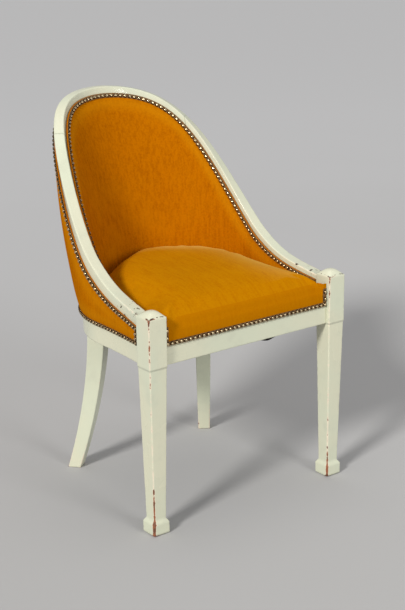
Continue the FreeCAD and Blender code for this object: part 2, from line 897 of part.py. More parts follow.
inside_nails = curve_row(inside_face, strip_middle(inner_line), -1, inside_end)
outside_nails = curve_row(outside_face, strip_middle(outer_line), 1, outside_end)
hem_row = hem_low + strip_wide / 2
hem_nails = curve_row(outside_face, lambda t: hem_row, 1, outside_end)
post_t = sum(post_strip_ends()) / 2
post_climb = strip_middle(outer_line)(post_t) - hem_row
post_spaces = int(post_climb / (nail_head + nail_gap))
post_nails = []
for i in range(1, post_spaces):
    up = post_climb * i / post_spaces
    head = nail_on(outside_face, lambda t: hem_row + up, 1, post_t)
    post_nails += [head, mirrored(head)]

nail_y = strip_front - nail_gap
front_nails = []
for along_x in even(2 * seat_x, nail_pitch):
    front_nails.append(placed(nail, V(along_x - seat_x, nail_y, hem_row), V(0, -1, 0)))
post_row = post_strip_top - hem_low - strip_wide
for up in even(post_row, nail_pitch):
    for sign in (-1, 1):
        place = V(sign * (seat_x - strip_wide / 2), nail_y, hem_low + strip_wide + up)
        front_nails.append(placed(nail, place, V(0, -1, 0)))

# Tacks of the cloth under the seat
tacks = []
tack_z = cloth_top - cloth_thick - soft_gap
tack_in = tack_head / 2 + tack_inset
for want in even(2 * (plan_length - tack_start), tack_pitch):
    p = shell((tack_start + want) / plan_length, frame_bottom, -cloth_margin - tack_in)
    if all(not leg.isInside(V(p.x, p.y, frame_bottom - 3), tack_head, True) for leg in keep_out):
        tacks.append(placed(tack, V(p.x, p.y, tack_z), V(0, 0, -1)))
for along_x in even(2 * (post_in - tack_end), tack_pitch):
    place = V(along_x - post_in + tack_end, front_face + cloth_front + tack_in, tack_z)
    tacks.append(placed(tack, place, V(0, 0, -1)))

# Nodes
nodes = {
    "front_leg_right": leg_right, "front_leg_left": mirrored(leg_right),
    "rear_leg_right": rear_right, "rear_leg_left": mirrored(rear_right),
    "front_seat_rail": front_rail, "back_seat_rail": back_rail,
    "side_seat_rail_right": side_right, "side_seat_rail_left": mirrored(side_right),
    "arm_rail_right": arm_right, "arm_rail_left": mirrored(arm_right), "crest_rail": crest_rail,
    "back_upright_right": upright_right, "back_upright_left": mirrored(upright_right),
    "front_block_right": front_block, "front_block_left": mirrored(front_block),
    "rear_block_right": rear_block, "rear_block_left": mirrored(rear_block),
    "block_screws": group([front_screw, mirrored(front_screw), rear_screw, mirrored(rear_screw)]),
    "webbing_lengthwise": group(long_webs), "webbing_crosswise": group(cross_webs),
    "seat_springs": group(springs), "seat_burlap": seat_burlap,
    "seat_stuffing": seat_stuffing, "seat_cover": seat_cover,
    "back_burlap": back_burlap, "back_stuffing": back_stuffing, "inside_back_cover": inside_cover,
    "back_wadding": back_wadding, "outside_back_cover": outside_cover,
    "inside_back_strip": inside_strip, "outside_back_strip": outside_strip,
    "outside_hem_strip": hem_strip, "seat_front_strip": seat_strip,
    "outside_post_strips": group([beside_post, mirrored(beside_post)]),
    "outside_post_nails": group(post_nails),
    "inside_back_nails": group(inside_nails), "outside_back_nails": group(outside_nails),
    "outside_hem_nails": group(hem_nails), "seat_front_nails": group(front_nails),
    "under_cloth": under_cloth, "under_cloth_tacks": group(tacks),
}
for name, row in pegs.items():
    nodes[name] = group(row)

os.makedirs("parts", exist_ok=True)
for name, shape in nodes.items():
    shape.exportStep("parts/" + name + ".step")
    print(name, len(shape.Solids), shape.isValid(), round(shape.Volume))
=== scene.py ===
"""Gondola chair: the looks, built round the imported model.

Metres, +Z up, the front of the seat towards -Y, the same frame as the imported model.
"""
import logging
import math
from dataclasses import dataclass
from enum import Enum
from typing import Callable, Sequence

import bmesh
import bpy
import numpy as np
from mathutils import Matrix, Vector, noise


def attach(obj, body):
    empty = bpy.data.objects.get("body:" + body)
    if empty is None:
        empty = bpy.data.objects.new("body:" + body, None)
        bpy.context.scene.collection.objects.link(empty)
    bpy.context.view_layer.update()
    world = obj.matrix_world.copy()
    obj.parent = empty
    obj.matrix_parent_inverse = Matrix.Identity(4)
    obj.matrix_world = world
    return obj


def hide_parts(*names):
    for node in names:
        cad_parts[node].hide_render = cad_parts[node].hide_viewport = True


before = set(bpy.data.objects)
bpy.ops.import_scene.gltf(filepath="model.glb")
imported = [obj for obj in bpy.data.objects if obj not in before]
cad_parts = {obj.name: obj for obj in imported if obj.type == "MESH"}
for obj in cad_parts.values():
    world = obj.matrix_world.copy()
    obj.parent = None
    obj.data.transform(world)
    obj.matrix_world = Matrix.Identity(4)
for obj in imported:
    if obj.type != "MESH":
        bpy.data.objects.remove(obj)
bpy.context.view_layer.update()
BODY = "root"
LOG = logging.getLogger("chair")
Socket = bpy.types.NodeSocket
Piece = bpy.types.Object
Mesh = bpy.types.Mesh
Material = bpy.types.Material
Array = np.ndarray
Colour = tuple[float, float, float]
Span = tuple[float, float]
Faces = list[tuple[int, ...]]
Line = Callable[[Array], Array]
Face = Callable[[Array, Array], Array]
NailLine = tuple[Array, Array, int]


class Side(Enum):
    """Sides of the chair, seen from the front."""

    RIGHT = 1
    LEFT = -1

    @property
    def tag(self) -> str:
        """The side's word in the names of pieces."""
        return self.name.lower()


class Slot(Enum):
    """Names of material slots."""

    PAINT = "painted_wood"
    VELVET = "velvet"
    BURLAP = "burlap"
    WEBBING = "webbing"
    CLOTH = "dark_cloth"
    BRONZE = "nail_bronze"
    STRIP = "brown_strip"


class NodeLayer:
    """Lays linked nodes in one node tree."""

    def __init__(self, tree: bpy.types.NodeTree) -> None:
        """Takes the tree that the nodes go into."""
        self.tree = tree

    def feed(self, socket: Socket, value: object) -> None:
        """Links an output to an input, or sets the input's own value.

        Args:
            socket: The input.
            value: An output or a plain value. A colour leaves out its alpha.
        """
        if isinstance(value, Socket):
            self.tree.links.new(value, socket)
        elif socket.type == "RGBA":
            socket.default_value = (*value, 1.0)
        else:
            socket.default_value = value

    def lay(self, kind: str, inputs: dict[str | int, object], output: str | int = 0,
            **settings: object) -> Socket:
        """Adds a node, sets its properties and feeds its inputs.

        Args:
            kind: Blender's name of the node's type.
            inputs: What each input gets, by its name or number.
            output: The output that is wanted, by its name or number.
            settings: The node's properties.

        Returns:
            The wanted output.
        """
        node = self.tree.nodes.new(kind)
        for key, value in settings.items():
            setattr(node, key, value)
        for key, value in inputs.items():
            self.feed(node.inputs[key], value)
        return node.outputs[output]


class Graph(NodeLayer):
    """Lays the shader nodes of one material."""

    def __init__(self, name: str) -> None:
        """Starts a material with a Principled shader.

        Args:
            name: Name of the material.
        """
        self.material = bpy.data.materials.new(name)
        self.material.use_nodes = True
        super().__init__(self.material.node_tree)
        self.shader = self.tree.nodes["Principled BSDF"]
        coords = self.tree.nodes.new("ShaderNodeTexCoord")
        self.place, self.uv = coords.outputs["Object"], coords.outputs["UV"]

    def set(self, **values: object) -> None:
        """Sets or links the shader's sockets, named with underscores for spaces."""
        for key, value in values.items():
            self.feed(self.shader.inputs[key.replace("_", " ")], value)

    def math(self, operation: str, a: object, b: object, clamp: bool = False) -> Socket:
        """The result of one Math node."""
        return self.lay("ShaderNodeMath", {0: a, 1: b}, operation=operation, use_clamp=clamp)

    def add(self, a: object, b: object) -> Socket:
        """Two values added."""
        return self.math("ADD", a, b)

    def part(self, a: object, share: float, clamp: bool = False) -> Socket:
        """A share of a value."""
        return self.math("MULTIPLY", a, share, clamp)

    def stretch(self, vector: Socket, scale: Colour) -> Socket:
        """A vector scaled on its three axes."""
        return self.lay("ShaderNodeMapping", {"Vector": vector, "Scale": scale})

    def noise(self, scale: float, detail: float = 3.0, vector: Socket | None = None,
              rough: float = 0.55) -> Socket:
        """A noise's value on Object coordinates, or on another vector."""
        return self.lay("ShaderNodeTexNoise", {"Vector": vector or self.place, "Scale": scale,
                                               "Detail": detail, "Roughness": rough}, "Fac")

    def step(self, value: Socket, low: float, high: float, top: float = 1.0) -> Socket:
        """A smooth step of a value from 0 at low to top at high."""
        return self.lay("ShaderNodeMapRange", {"Value": value, "From Min": low, "From Max": high,
                                               "To Max": top}, interpolation_type="SMOOTHSTEP")

    def mix(self, share: object, a: object, b: object) -> Socket:
        """Two colours mixed by a share."""
        return self.lay("ShaderNodeMix", {0: share, 6: a, 7: b}, 2, data_type="RGBA")

    def attribute(self, name: str) -> Socket:
        """The value of a piece's own attribute."""
        return self.lay("ShaderNodeAttribute", {}, "Fac", attribute_name=name)

    def wave(self, scale: float, vector: Socket, axis: str) -> Socket:
        """Slightly uneven threads across one axis."""
        return self.lay("ShaderNodeTexWave", {"Vector": vector, "Scale": scale, "Distortion": 0.6,
                                              "Detail Scale": 2.0}, "Fac", bands_direction=axis)

    def bump(self, height: Socket, distance: float, strength: float = 1.0,
             below: Socket | None = None) -> Socket:
        """A bump of a height, on top of another bump's normal."""
        under = {} if below is None else {"Normal": below}
        return self.lay("ShaderNodeBump", {"Strength": strength, "Distance": distance, "Height": height,
                                           **under})


@dataclass(frozen=True)
class PaintFinish:
    """Old paint with brush marks, over a pale undercoat on reddish wood, worn along the edges."""

    name: str = "worn_celadon_paint"
    fresh: Colour = (0.655, 0.680, 0.520)
    yellowed: Colour = (0.690, 0.680, 0.512)
    greyed: Colour = (0.575, 0.590, 0.458)
    undercoat: Colour = (0.790, 0.670, 0.520)
    wood: Colour = (0.310, 0.105, 0.045)
    dark: Colour = (0.070, 0.040, 0.025)
    cloud_scale: float = 7.0
    stain_scale: float = 26.0
    tone_scale: float = 60.0
    flake_scale: float = 85.0
    wear_scale: float = 95.0
    grit_scale: float = 420.0
    stroke_scale: Colour = (9.0, 700.0, 1.0)
    thins: Span = (1.20, 1.44)
    bares: Span = (1.48, 1.55)
    flakes: Span = (1.03, 1.07)
    stroke_depth: float = 0.0004
    coat: float = 0.0006

    def build(self) -> Material:
        """Lays the paint, what is worn through it, and its relief.

        Returns:
            The material, which reads the attributes edge and chip.
        """
        g = Graph(self.name)
        cloud, wear = g.noise(self.cloud_scale, 4.0), g.noise(self.wear_scale, 4.0)
        grit = g.noise(self.grit_scale)
        strokes = g.noise(1.0, 3.0, g.stretch(g.uv, self.stroke_scale))
        paint = g.mix(g.step(cloud, 0.36, 0.68), self.fresh, self.yellowed)
        paint = g.mix(g.step(g.noise(self.stain_scale, 5.0), 0.48, 0.78, 0.60), paint, self.greyed)
        paint = g.mix(g.step(strokes, 0.45, 0.75, 0.18), paint, self.greyed)
        worn = g.add(g.attribute("edge"), g.add(g.part(wear, 0.95), g.part(grit, 0.35)))
        thin, bare = g.step(worn, *self.thins), g.step(worn, *self.bares)
        flake = g.step(g.add(g.attribute("chip"), g.noise(self.flake_scale, 4.0)), *self.flakes)
        tone = g.mix(g.step(g.noise(self.tone_scale), 0.44, 0.64, 0.75), self.wood, self.dark)
        colour = g.mix(bare, g.mix(g.part(thin, 0.72), paint, self.undercoat), tone)
        lost = g.math("MAXIMUM", g.part(thin, 0.35), g.math("MAXIMUM", bare, flake))
        skin = g.bump(g.add(g.part(strokes, 0.5), g.part(grit, 0.4)), self.stroke_depth, 0.35)
        g.set(Base_Color=g.mix(flake, colour, self.dark), Specular_IOR_Level=0.42,
              Roughness=g.step(g.add(cloud, g.part(lost, 0.5)), 0.2, 1.2, 0.7),
              Normal=g.bump(g.math("SUBTRACT", 1.0, lost), self.coat, 0.7, skin))
        return g.material


@dataclass(frozen=True)
class VelvetFinish:
    """Cotton velvet: short pile, brush-marked streaks and slow changes of the nap."""

    name: str
    deep: Colour
    main: Colour
    light: Colour
    # colour of the painted sheen
    rubbed: Colour
    streaks: Colour
    sheen: float
    cloud_scale: float = 9.0
    nap_scale: float = 240.0
    pile_scale: float = 1500.0
    pile_depth: float = 0.0006
    sheen_tint: Colour = (1.0, 0.55, 0.04)

    def build(self) -> Material:
        """Lays the nap, the painted sheen and painted shade, and the pile.

        Returns:
            The material, which reads one attribute: above 0 it paints sheen, below 0 it paints shade.
        """
        g = Graph(self.name)
        nap = g.noise(1.0, 4.0, g.stretch(g.place, self.streaks))
        pile, rub = g.noise(self.pile_scale, 2.0), g.attribute("rub")
        shade = g.add(g.part(nap, 0.55), g.part(g.noise(self.nap_scale), 0.45))
        colour = g.mix(g.step(shade, 0.30, 0.62), self.deep, self.main)
        colour = g.mix(g.step(g.noise(self.cloud_scale), 0.45, 0.75, 0.35), colour, self.light)
        colour = g.mix(g.step(pile, 0.35, 0.75, 0.22), colour, self.light)
        # painted sheen where the attribute is above 0, painted shade in the deep colour where it is below 0
        colour = g.mix(g.part(rub, 0.75, True), colour, self.rubbed)
        colour = g.mix(g.part(rub, -0.60, True), colour, self.deep)
        height = g.add(g.part(pile, 0.6), g.part(nap, 0.8))
        g.set(Base_Color=colour, Roughness=0.95, Specular_IOR_Level=0.0, Sheen_Weight=self.sheen,
              Sheen_Roughness=0.40, Sheen_Tint=self.sheen_tint, Normal=g.bump(height, self.pile_depth, 0.55))
        return g.material


@dataclass(frozen=True)
class BronzeFinish:
    """Dark bronze nail heads, worn bright on the crown and dull at the rim."""

    name: str = "rubbed_bronze"
    rim: Colour = (0.105, 0.062, 0.028)
    crown: Colour = (0.740, 0.590, 0.360)
    spot_scale: float = 310.0
    dent_scale: float = 900.0
    dent_depth: float = 0.0002

    def build(self) -> Material:
        """Lays the rubbed metal.

        Returns:
            The material, which reads the attribute crown.
        """
        g = Graph(self.name)
        spots = g.noise(self.spot_scale)
        bright = g.step(g.add(g.attribute("crown"), g.part(spots, 0.7)), 0.45, 1.15)
        g.set(Base_Color=g.mix(bright, self.rim, self.crown), Metallic=1.0,
              Roughness=g.step(spots, 0.2, 0.9, 0.55),
              Normal=g.bump(g.noise(self.dent_scale, 2.0), self.dent_depth, 0.3))
        return g.material


@dataclass(frozen=True)
class WovenFinish:
    """Plain weave of two thread sets, such as jute, cambric or braid."""

    name: str
    light: Colour
    dark: Colour
    threads: float
    from_uv: bool = False
    slub_scale: float = 120.0
    thread_depth: float = 0.0008

    def build(self) -> Material:
        """Lays warp over weft by turns.

        Returns:
            The material.
        """
        g = Graph(self.name)
        place = g.uv if self.from_uv else g.place
        warp, weft = g.wave(self.threads, place, "X"), g.wave(self.threads, place, "Y")
        over = [g.math("MULTIPLY", a, g.math("SUBTRACT", 1.0, b)) for a, b in ((warp, weft), (weft, warp))]
        weave = g.math("MAXIMUM", *over)
        shade = g.step(g.add(weave, g.part(g.noise(self.slub_scale), 0.5)), 0.15, 0.85)
        g.set(Base_Color=g.mix(shade, self.dark, self.light), Roughness=0.88, Specular_IOR_Level=0.15,
              Normal=g.bump(weave, self.thread_depth, 0.6))
        return g.material


@dataclass(frozen=True)
class BareWoodFinish:
    """Unpainted beech of the hidden frame, its grain along one axis."""

    name: str = "bare_beech"
    pale: Colour = (0.560, 0.380, 0.220)
    line: Colour = (0.330, 0.190, 0.095)
    grain_scale: Colour = (60.0, 60.0, 6.0)
    fleck_scale: float = 380.0
    grain_depth: float = 0.0005

    def build(self) -> Material:
        """Lays grain and flecks.

        Returns:
            The material.
        """
        g = Graph(self.name)
        grain = g.noise(1.0, 5.0, g.stretch(g.place, self.grain_scale), 0.7)
        flecks = g.noise(self.fleck_scale, 2.0)
        colour = g.mix(g.step(grain, 0.40, 0.72), self.pale, self.line)
        g.set(Base_Color=g.mix(g.step(flecks, 0.58, 0.72, 0.4), colour, self.line),
              Roughness=g.step(flecks, 0.0, 1.0, 0.95), Normal=g.bump(grain, self.grain_depth, 0.4))
        return g.material


@dataclass(frozen=True)
class SteelFinish:
    """Drawn spring wire and screws, slightly tarnished."""

    name: str = "drawn_steel"
    bright: Colour = (0.430, 0.430, 0.440)
    rust: Colour = (0.180, 0.090, 0.050)
    spot_scale: float = 140.0
    draw_scale: float = 700.0
    draw_depth: float = 0.0002

    def build(self) -> Material:
        """Lays bright wire with rust spots.

        Returns:
            The material.
        """
        g = Graph(self.name)
        spots = g.noise(self.spot_scale, 5.0)
        g.set(Base_Color=g.mix(g.step(spots, 0.55, 0.72, 0.8), self.bright, self.rust), Metallic=0.9,
              Roughness=g.step(spots, 0.1, 0.9, 0.6),
              Normal=g.bump(g.noise(self.draw_scale, 2.0), self.draw_depth, 0.4))
        return g.material


class Wardrobe:
    """The finishes of this chair, each made once."""

    def __init__(self) -> None:
        """Builds every material."""
        self.paint = PaintFinish().build()
        self.back_velvet = VelvetFinish(
            "ochre_velvet", deep=(0.345, 0.090, 0.0002), main=(0.468, 0.137, 0.0003),
            light=(0.500, 0.165, 0.0008), rubbed=(0.560, 0.215, 0.003), streaks=(170.0, 170.0, 14.0),
            sheen=0.10).build()
        # the seat's pale fourth colour is painted sheen for its rear and right-hand edge
        self.seat_velvet = VelvetFinish(
            "gold_velvet", deep=(0.425, 0.138, 0.0003), main=(0.490, 0.186, 0.0005),
            light=(0.540, 0.225, 0.002), rubbed=(0.910, 0.630, 0.180), streaks=(160.0, 22.0, 22.0),
            sheen=0.12).build()
        self.bronze = BronzeFinish().build()
        self.braid = WovenFinish("brown_braid", (0.260, 0.140, 0.055), (0.080, 0.042, 0.018), 260.0,
                                 from_uv=True).build()
        self.jute = WovenFinish("jute", (0.430, 0.310, 0.170), (0.150, 0.095, 0.045), 160.0).build()
        self.cambric = WovenFinish("black_cambric", (0.036, 0.033, 0.030), (0.008, 0.007, 0.006),
                                   300.0).build()
        self.beech = BareWoodFinish().build()
        self.steel = SteelFinish().build()


@dataclass
class Shell:
    """Plan and lines of the raked back, which rails, covers, strips and nails follow.

    A place round the back is t: 0 at the right post, 1 at the middle of the back, 2 at the left post.
    """

    half_width: float = 0.2473
    half_depth: float = 0.2725
    post_side: float = 0.042
    post_in: float = 0.2053
    half_front: float = 0.2047
    cover_front: float = -0.2631
    side_inset: float = 0.0178
    post_inset: float = 0.0083
    round_depth: float = 0.212
    crest_tuck: float = 0.0009
    rake: float = 0.314
    rake_from: float = 0.405
    band_rake: float = 0.06
    frame_bottom: float = 0.346
    band_top: float = 0.382
    tack_top: float = 0.400
    flare: float = -0.2
    crest: float = 0.800
    rail_foot: float = 0.440
    rail_sweep: float = 0.053
    rise_gain: float = 13.5
    rise_start: float = 4.25
    rise_end: float = 1.1
    rise_soft: float = 0.06
    face_post: float = 0.027
    face_crest: float = 0.019
    inner_show_post: float = 0.0092
    inner_show_crest: float = 0.014
    outer_show: float = 0.0196
    inside_stand: float = 0.0053
    inside_pad: float = 0.018
    outside_stand: float = 0.0031
    outside_pad: float = 0.013
    panel_low: float = 0.4024
    hem_low: float = 0.384
    inside_end: float = 0.0148
    outside_end: float = 0.0050
    strip: float = 0.009
    butt: float = 0.0001
    before_post: float = -0.03

    def __post_init__(self) -> None:
        """Works out the table of lengths along the plan."""
        self.post_back = self.post_side - self.half_depth
        self.side_x = self.half_width - self.side_inset
        self.inside_span = (self.inside_end, 2 - self.inside_end)
        self.outside_span = (self.outside_end, 2 - self.outside_end)
        self.round_y = (self.half_depth - self.crest_tuck - self.rake * (self.crest - self.rake_from)
                        - self.round_depth)
        self.marks = np.linspace(-0.25, 2.0, 2251)
        x, y = self.plan(self.marks)[:2]
        lengths = np.concatenate([[0.0], np.cumsum(np.hypot(np.diff(x), np.diff(y)))])
        self.lengths = lengths - np.interp(0.0, self.marks, lengths)
        self.length = float(self.lengths[-1])
        self.round_run = float(np.interp(1.0, self.marks, self.lengths)) / self.length

    def plan(self, k: Array) -> tuple[Array, ...]:
        """Outer face of the right half in plan.

        Args:
            k: 0 at the post, 1 where the round starts, 2 at the middle of the back.

        Returns:
            Place x and y, and the outward direction's x and y.
        """
        run_in, narrow = self.round_y - self.post_back, self.side_inset - self.post_inset
        turn = np.clip(k - 1, 0, 1) * math.pi / 2
        straight = k <= 1
        x = np.where(straight, self.side_x + narrow * (1 - k) ** 2, self.side_x * np.cos(turn))
        y = np.where(straight, self.post_back + k * run_in, self.round_y + self.round_depth * np.sin(turn))
        nx = np.where(straight, 1.0, np.cos(turn) / self.side_x)
        ny = np.where(straight, 2 * narrow * (1 - k) / run_in, np.sin(turn) / self.round_depth)
        size = np.hypot(nx, ny)
        return x, y, nx / size, ny / size

    def run(self, t: Array) -> Array:
        """Share of the way from the nearer post to the middle of the back."""
        return np.where(np.asarray(t) <= 1, t, 2 - np.asarray(t))

    def point(self, t: Array, z: Array, off: Array) -> Array:
        """Points of the shell, raked over the show band and nearly upright in it.

        Args:
            t: Places round the back.
            z: Heights.
            off: How far out from the frame's outer face.

        Returns:
            The points, with x, y and z on the last axis.
        """
        t, z, off = np.broadcast_arrays(np.asarray(t, float), z, off)
        sign = np.where(t <= 1, 1.0, -1.0)
        x, y, nx, ny = self.plan(np.interp(self.run(t) * self.length, self.lengths, self.marks))
        fade = np.clip((y - self.post_back) / (self.round_y - self.post_back), 0, 1)
        spread = 1 + self.flare * ((z - self.rake_from) * fade)
        above, below = np.maximum(z, self.band_top) - self.rake_from, np.minimum(z - self.band_top, 0)
        back = self.rake * above + self.band_rake * below
        return np.stack([sign * (x * spread + off * nx), y + back * fade + off * ny, z], -1)

    def rail_height(self, t: Array) -> Array:
        """Height of the swept rail's outer top edge.

        Args:
            t: Places round the back.

        Returns:
            The heights.
        """
        run = self.run(t)

        def rise(r: Array) -> Array:
            """Climb of the rail before it levels off."""
            slope = ((1 - r) ** 2 + self.rise_soft ** 2) ** (self.rise_end / 2)
            return self.rise_gain * np.maximum(r, 0.0) ** self.rise_start / slope

        full = rise(np.asarray(1.0))
        share = rise(run) / (1 + rise(run)) * (1 + full) / full
        sweep = self.rail_sweep * (2 * run - run * run)
        return self.rail_foot + sweep + (self.crest - self.rail_foot - self.rail_sweep) * share

    def stretch(self, t: Array) -> Array:
        """Upright length that a unit measured square to the swept rail takes up.

        Args:
            t: Places round the back.

        Returns:
            The lengths.
        """
        run, step = self.run(t), 0.002
        slope = (self.rail_height(run + step) - self.rail_height(run - step)) / (2 * step * self.length)
        return np.hypot(1, slope)

    def between(self, first: float, last: float, t: Array) -> Array:
        """A size that goes from first at the posts to last at the crest."""
        return first + (last - first) * np.maximum(self.run(t), 0)

    def rail_face(self, t: Array) -> Array:
        """Width of the swept rail's top face."""
        return self.between(self.face_post, self.face_crest, t)

    def inner_line(self, t: Array) -> Array:
        """Height of the inside cover's upper edge."""
        show = self.between(self.inner_show_post, self.inner_show_crest, t)
        return self.rail_height(t) - self.stretch(t) * show

    def outer_line(self, t: Array) -> Array:
        """Height of the outside cover's upper edge."""
        return self.rail_height(t) - self.stretch(t) * self.outer_show

    def bow(self, t: Array, z: Array, low: float, line: Line, pad: float) -> Array:
        """Swell of a cover between its lower and its upper edge.

        Args:
            t: Places round the back.
            z: Heights.
            low: Height of the cover's lower edge.
            line: Height of its upper edge at t.
            pad: Swell at the middle of the back.

        Returns:
            How far the cover swells.
        """
        high = line(t)
        most = pad * (high - low) / (line(np.asarray(1.0)) - low)
        part = (z - low) / (high - low)
        return most * 4 * part * (1 - part)

    def inside_face(self, t: Array, z: Array) -> Array:
        """How far out the inside cover's face stands."""
        swell = self.bow(t, z, self.panel_low, self.inner_line, self.inside_pad)
        return -self.rail_face(t) - self.inside_stand - swell

    def outside_face(self, t: Array, z: Array) -> Array:
        """How far out the outside cover's face stands."""
        return self.outside_stand + self.bow(t, z, self.hem_low, self.outer_line, self.outside_pad)


SHELL = Shell()


def ramp(values: Array, start: float, width: float) -> Array:
    """Share that goes from 0 at start to 1 a width further on."""
    return np.clip((values - start) / width, 0, 1)


def run_lengths(points: Array) -> Array:
    """Length along a line of points, from its first point to each."""
    return np.concatenate([[0.0], np.cumsum(np.linalg.norm(np.diff(points, axis=0), axis=1))])


def flipped(points: Array, side: Side = Side.LEFT) -> Array:
    """Points of the right-hand side, mirrored for the left side."""
    return points * np.array([side.value, 1.0, 1.0])


def make_object(mesh: Mesh, finish: Material | None = None) -> Piece:
    """Puts a mesh in the scene as an object of the same name, at the origin.

    Args:
        mesh: The mesh.
        finish: Its material.

    Returns:
        The new object.
    """
    if finish is not None:
        mesh.materials.append(finish)
    piece = bpy.data.objects.new(mesh.name, mesh)
    bpy.context.scene.collection.objects.link(piece)
    return piece


def settle(piece: Piece, slot: Slot, *nodes: str) -> Piece:
    """Lets a finished piece ride on the chair and stand for its CAD nodes.

    Args:
        piece: The finished object.
        slot: A material slot; not used.
        nodes: CAD nodes that the piece stands for.

    Returns:
        The same object.
    """
    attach(piece, BODY)
    if nodes:
        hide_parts(*nodes)
    LOG.info("%s: %d faces", piece.name, len(piece.data.polygons))
    return piece


def new_mesh(name: str, points: Sequence, faces: Faces) -> Mesh:
    """Makes a mesh.

    Args:
        name: Name of the mesh.
        points: Its vertices.
        faces: Vertex numbers of each face.

    Returns:
        The new mesh.
    """
    mesh = bpy.data.meshes.new(name)
    mesh.from_pydata(np.asarray(points).tolist(), [], faces)
    return mesh


def face_out(mesh: Mesh, smooth: bool = True) -> None:
    """Points the faces outwards.

    Args:
        mesh: The mesh, which is changed.
        smooth: Whether its faces are shaded smooth as well.
    """
    bm = bmesh.new()
    bm.from_mesh(mesh)
    bmesh.ops.recalc_face_normals(bm, faces=bm.faces)
    bm.to_mesh(mesh)
    bm.free()
    if smooth:
        shade_smooth(mesh)


def shade_smooth(mesh: Mesh) -> None:
    """Shades every face smooth."""
    mesh.polygons.foreach_set("use_smooth", np.ones(len(mesh.polygons), bool))


def places(mesh: Mesh) -> Array:
    """Reads where the vertices of a mesh are.

    Args:
        mesh: The mesh.

    Returns:
        One row of x, y and z for each vertex.
    """
    flat = np.empty(len(mesh.vertices) * 3)
    mesh.vertices.foreach_get("co", flat)
    return flat.reshape(-1, 3)


def evaluated(piece: Piece) -> Mesh:
    """A new mesh of a piece with its modifiers applied."""
    graph = bpy.context.evaluated_depsgraph_get()
    return bpy.data.meshes.new_from_object(piece.evaluated_get(graph))


def put_values(mesh: Mesh, name: str, values: Array) -> None:
    """Writes one number for each vertex as an attribute."""
    layer = mesh.attributes.new(name, "FLOAT", "POINT")
    layer.data.foreach_set("value", np.asarray(values, np.float32).ravel())


def put_uv(mesh: Mesh, uv: Array) -> None:
    """Writes a UV map.

    Args:
        mesh: The mesh, which is changed.
        uv: One pair for each vertex.
    """
    layer = mesh.uv_layers.new(name="along")
    index = np.empty(len(mesh.loops), int)
    mesh.loops.foreach_get("vertex_index", index)
    layer.data.foreach_set("uv", np.asarray(uv, np.float32)[index].ravel())


def grid_faces(rows: int, columns: int, closed: bool) -> Faces:
    """Four-sided faces of a grid of points.

    Args:
        rows: Rows of points.
        columns: Points in a row.
        closed: Whether each row is a ring.

    Returns:
        Point numbers of each face.
    """
    last = columns if closed else columns - 1
    return [(r * columns + c, r * columns + (c + 1) % columns,
             (r + 1) * columns + (c + 1) % columns, (r + 1) * columns + c)
            for r in range(rows - 1) for c in range(last)]


def tube_faces(rows: int, columns: int) -> Faces:
    """Faces of a tube of rings, closed at both ends."""
    caps = [tuple(range(columns)), tuple(range((rows - 1) * columns, rows * columns))]
    return grid_faces(rows, columns, True) + caps


def slabs(name: str, pairs: Sequence[tuple[Array, Array]], sharp: float = 0.6) -> Mesh:
    """Closed sheets, each between two matching grids of points.

    Args:
        name: Name of the mesh.
        pairs: The front and the rear grid of each sheet.
        sharp: Angle over which an edge stays crisp.

    Returns:
        The mesh, fronts before rears in each sheet.
    """
    points, faces, base = [], [], 0
    for front, rear in pairs:
        columns, rows = front.shape[:2]
        n = columns * rows
        quads = grid_faces(columns, rows, False)
        rim = [c * rows for c in range(columns)] + [(columns - 1) * rows + r for r in range(1, rows)]
        rim += [c * rows + rows - 1 for c in range(columns - 2, -1, -1)] + list(range(rows - 2, 0, -1))
        made = quads + [tuple(n + i for i in q[::-1]) for q in quads]
        made += [(a, b, n + b, n + a) for a, b in zip(rim, rim[1:] + rim[:1])]
        faces += [tuple(base + i for i in f) for f in made]
        points += [front.reshape(-1, 3), rear.reshape(-1, 3)]
        base += 2 * n
    mesh = new_mesh(name, np.concatenate(points), faces)
    face_out(mesh)
    mesh.set_sharp_from_angle(angle=sharp)
    return mesh


def rounded(corners: Sequence[Span], radii: Sequence[float], arc: int = 3) -> tuple[Array, Array]:
    """A closed section with eased corners, and points beside each corner for the worn paint.

    Args:
        corners: Corners in order.
        radii: Radius at each corner.
        arc: Steps in each rounded corner.

    Returns:
        The points, and how near each is to an edge, 1 on it.
    """
    beside = ((0.0016, 0.70), (0.0042, 0.22))
    closest = 0.2
    p = [np.asarray(c, float) for c in corners]
    count = len(p)
    starts, ends, bends = [], [], []
    for i in range(count):
        a, b = p[i - 1] - p[i], p[(i + 1) % count] - p[i]
        a, b = a / np.linalg.norm(a), b / np.linalg.norm(b)
        half = math.acos(float(np.clip(a @ b, -1, 1))) / 2
        cut = radii[i] / math.tan(half)
        starts.append(p[i] + a * cut)
        ends.append(p[i] + b * cut)
        middle = p[i] + (a + b) / np.linalg.norm(a + b) * (radii[i] / math.sin(half))
        first, last = starts[i] - middle, ends[i] - middle
        turn = math.atan2(first[0] * last[1] - first[1] * last[0], first @ last)
        turns = [(math.cos(turn * s / arc), math.sin(turn * s / arc)) for s in range(arc + 1)]
        bends.append([middle + np.array([c * first[0] - n * first[1], n * first[0] + c * first[1]])
                      for c, n in turns])
    points, edge = [], []
    for i in range(count):
        points += bends[i]
        edge += [1.0] * (arc + 1)
        way = starts[(i + 1) % count] - ends[i]
        size = float(np.linalg.norm(way))
        near = [(min(d, size * closest * (n + 1)), w) for n, (d, w) in enumerate(beside)]
        inner = near[-1][0]
        far = [(inner + (size - 2 * inner) * part, 0.0) for part in (1 / 3, 2 / 3)]
        for d, w in near + far + [(size - d, w) for d, w in reversed(near)]:
            points.append(ends[i] + way * (d / size))
            edge.append(w)
    return np.array(points), np.array(edge)


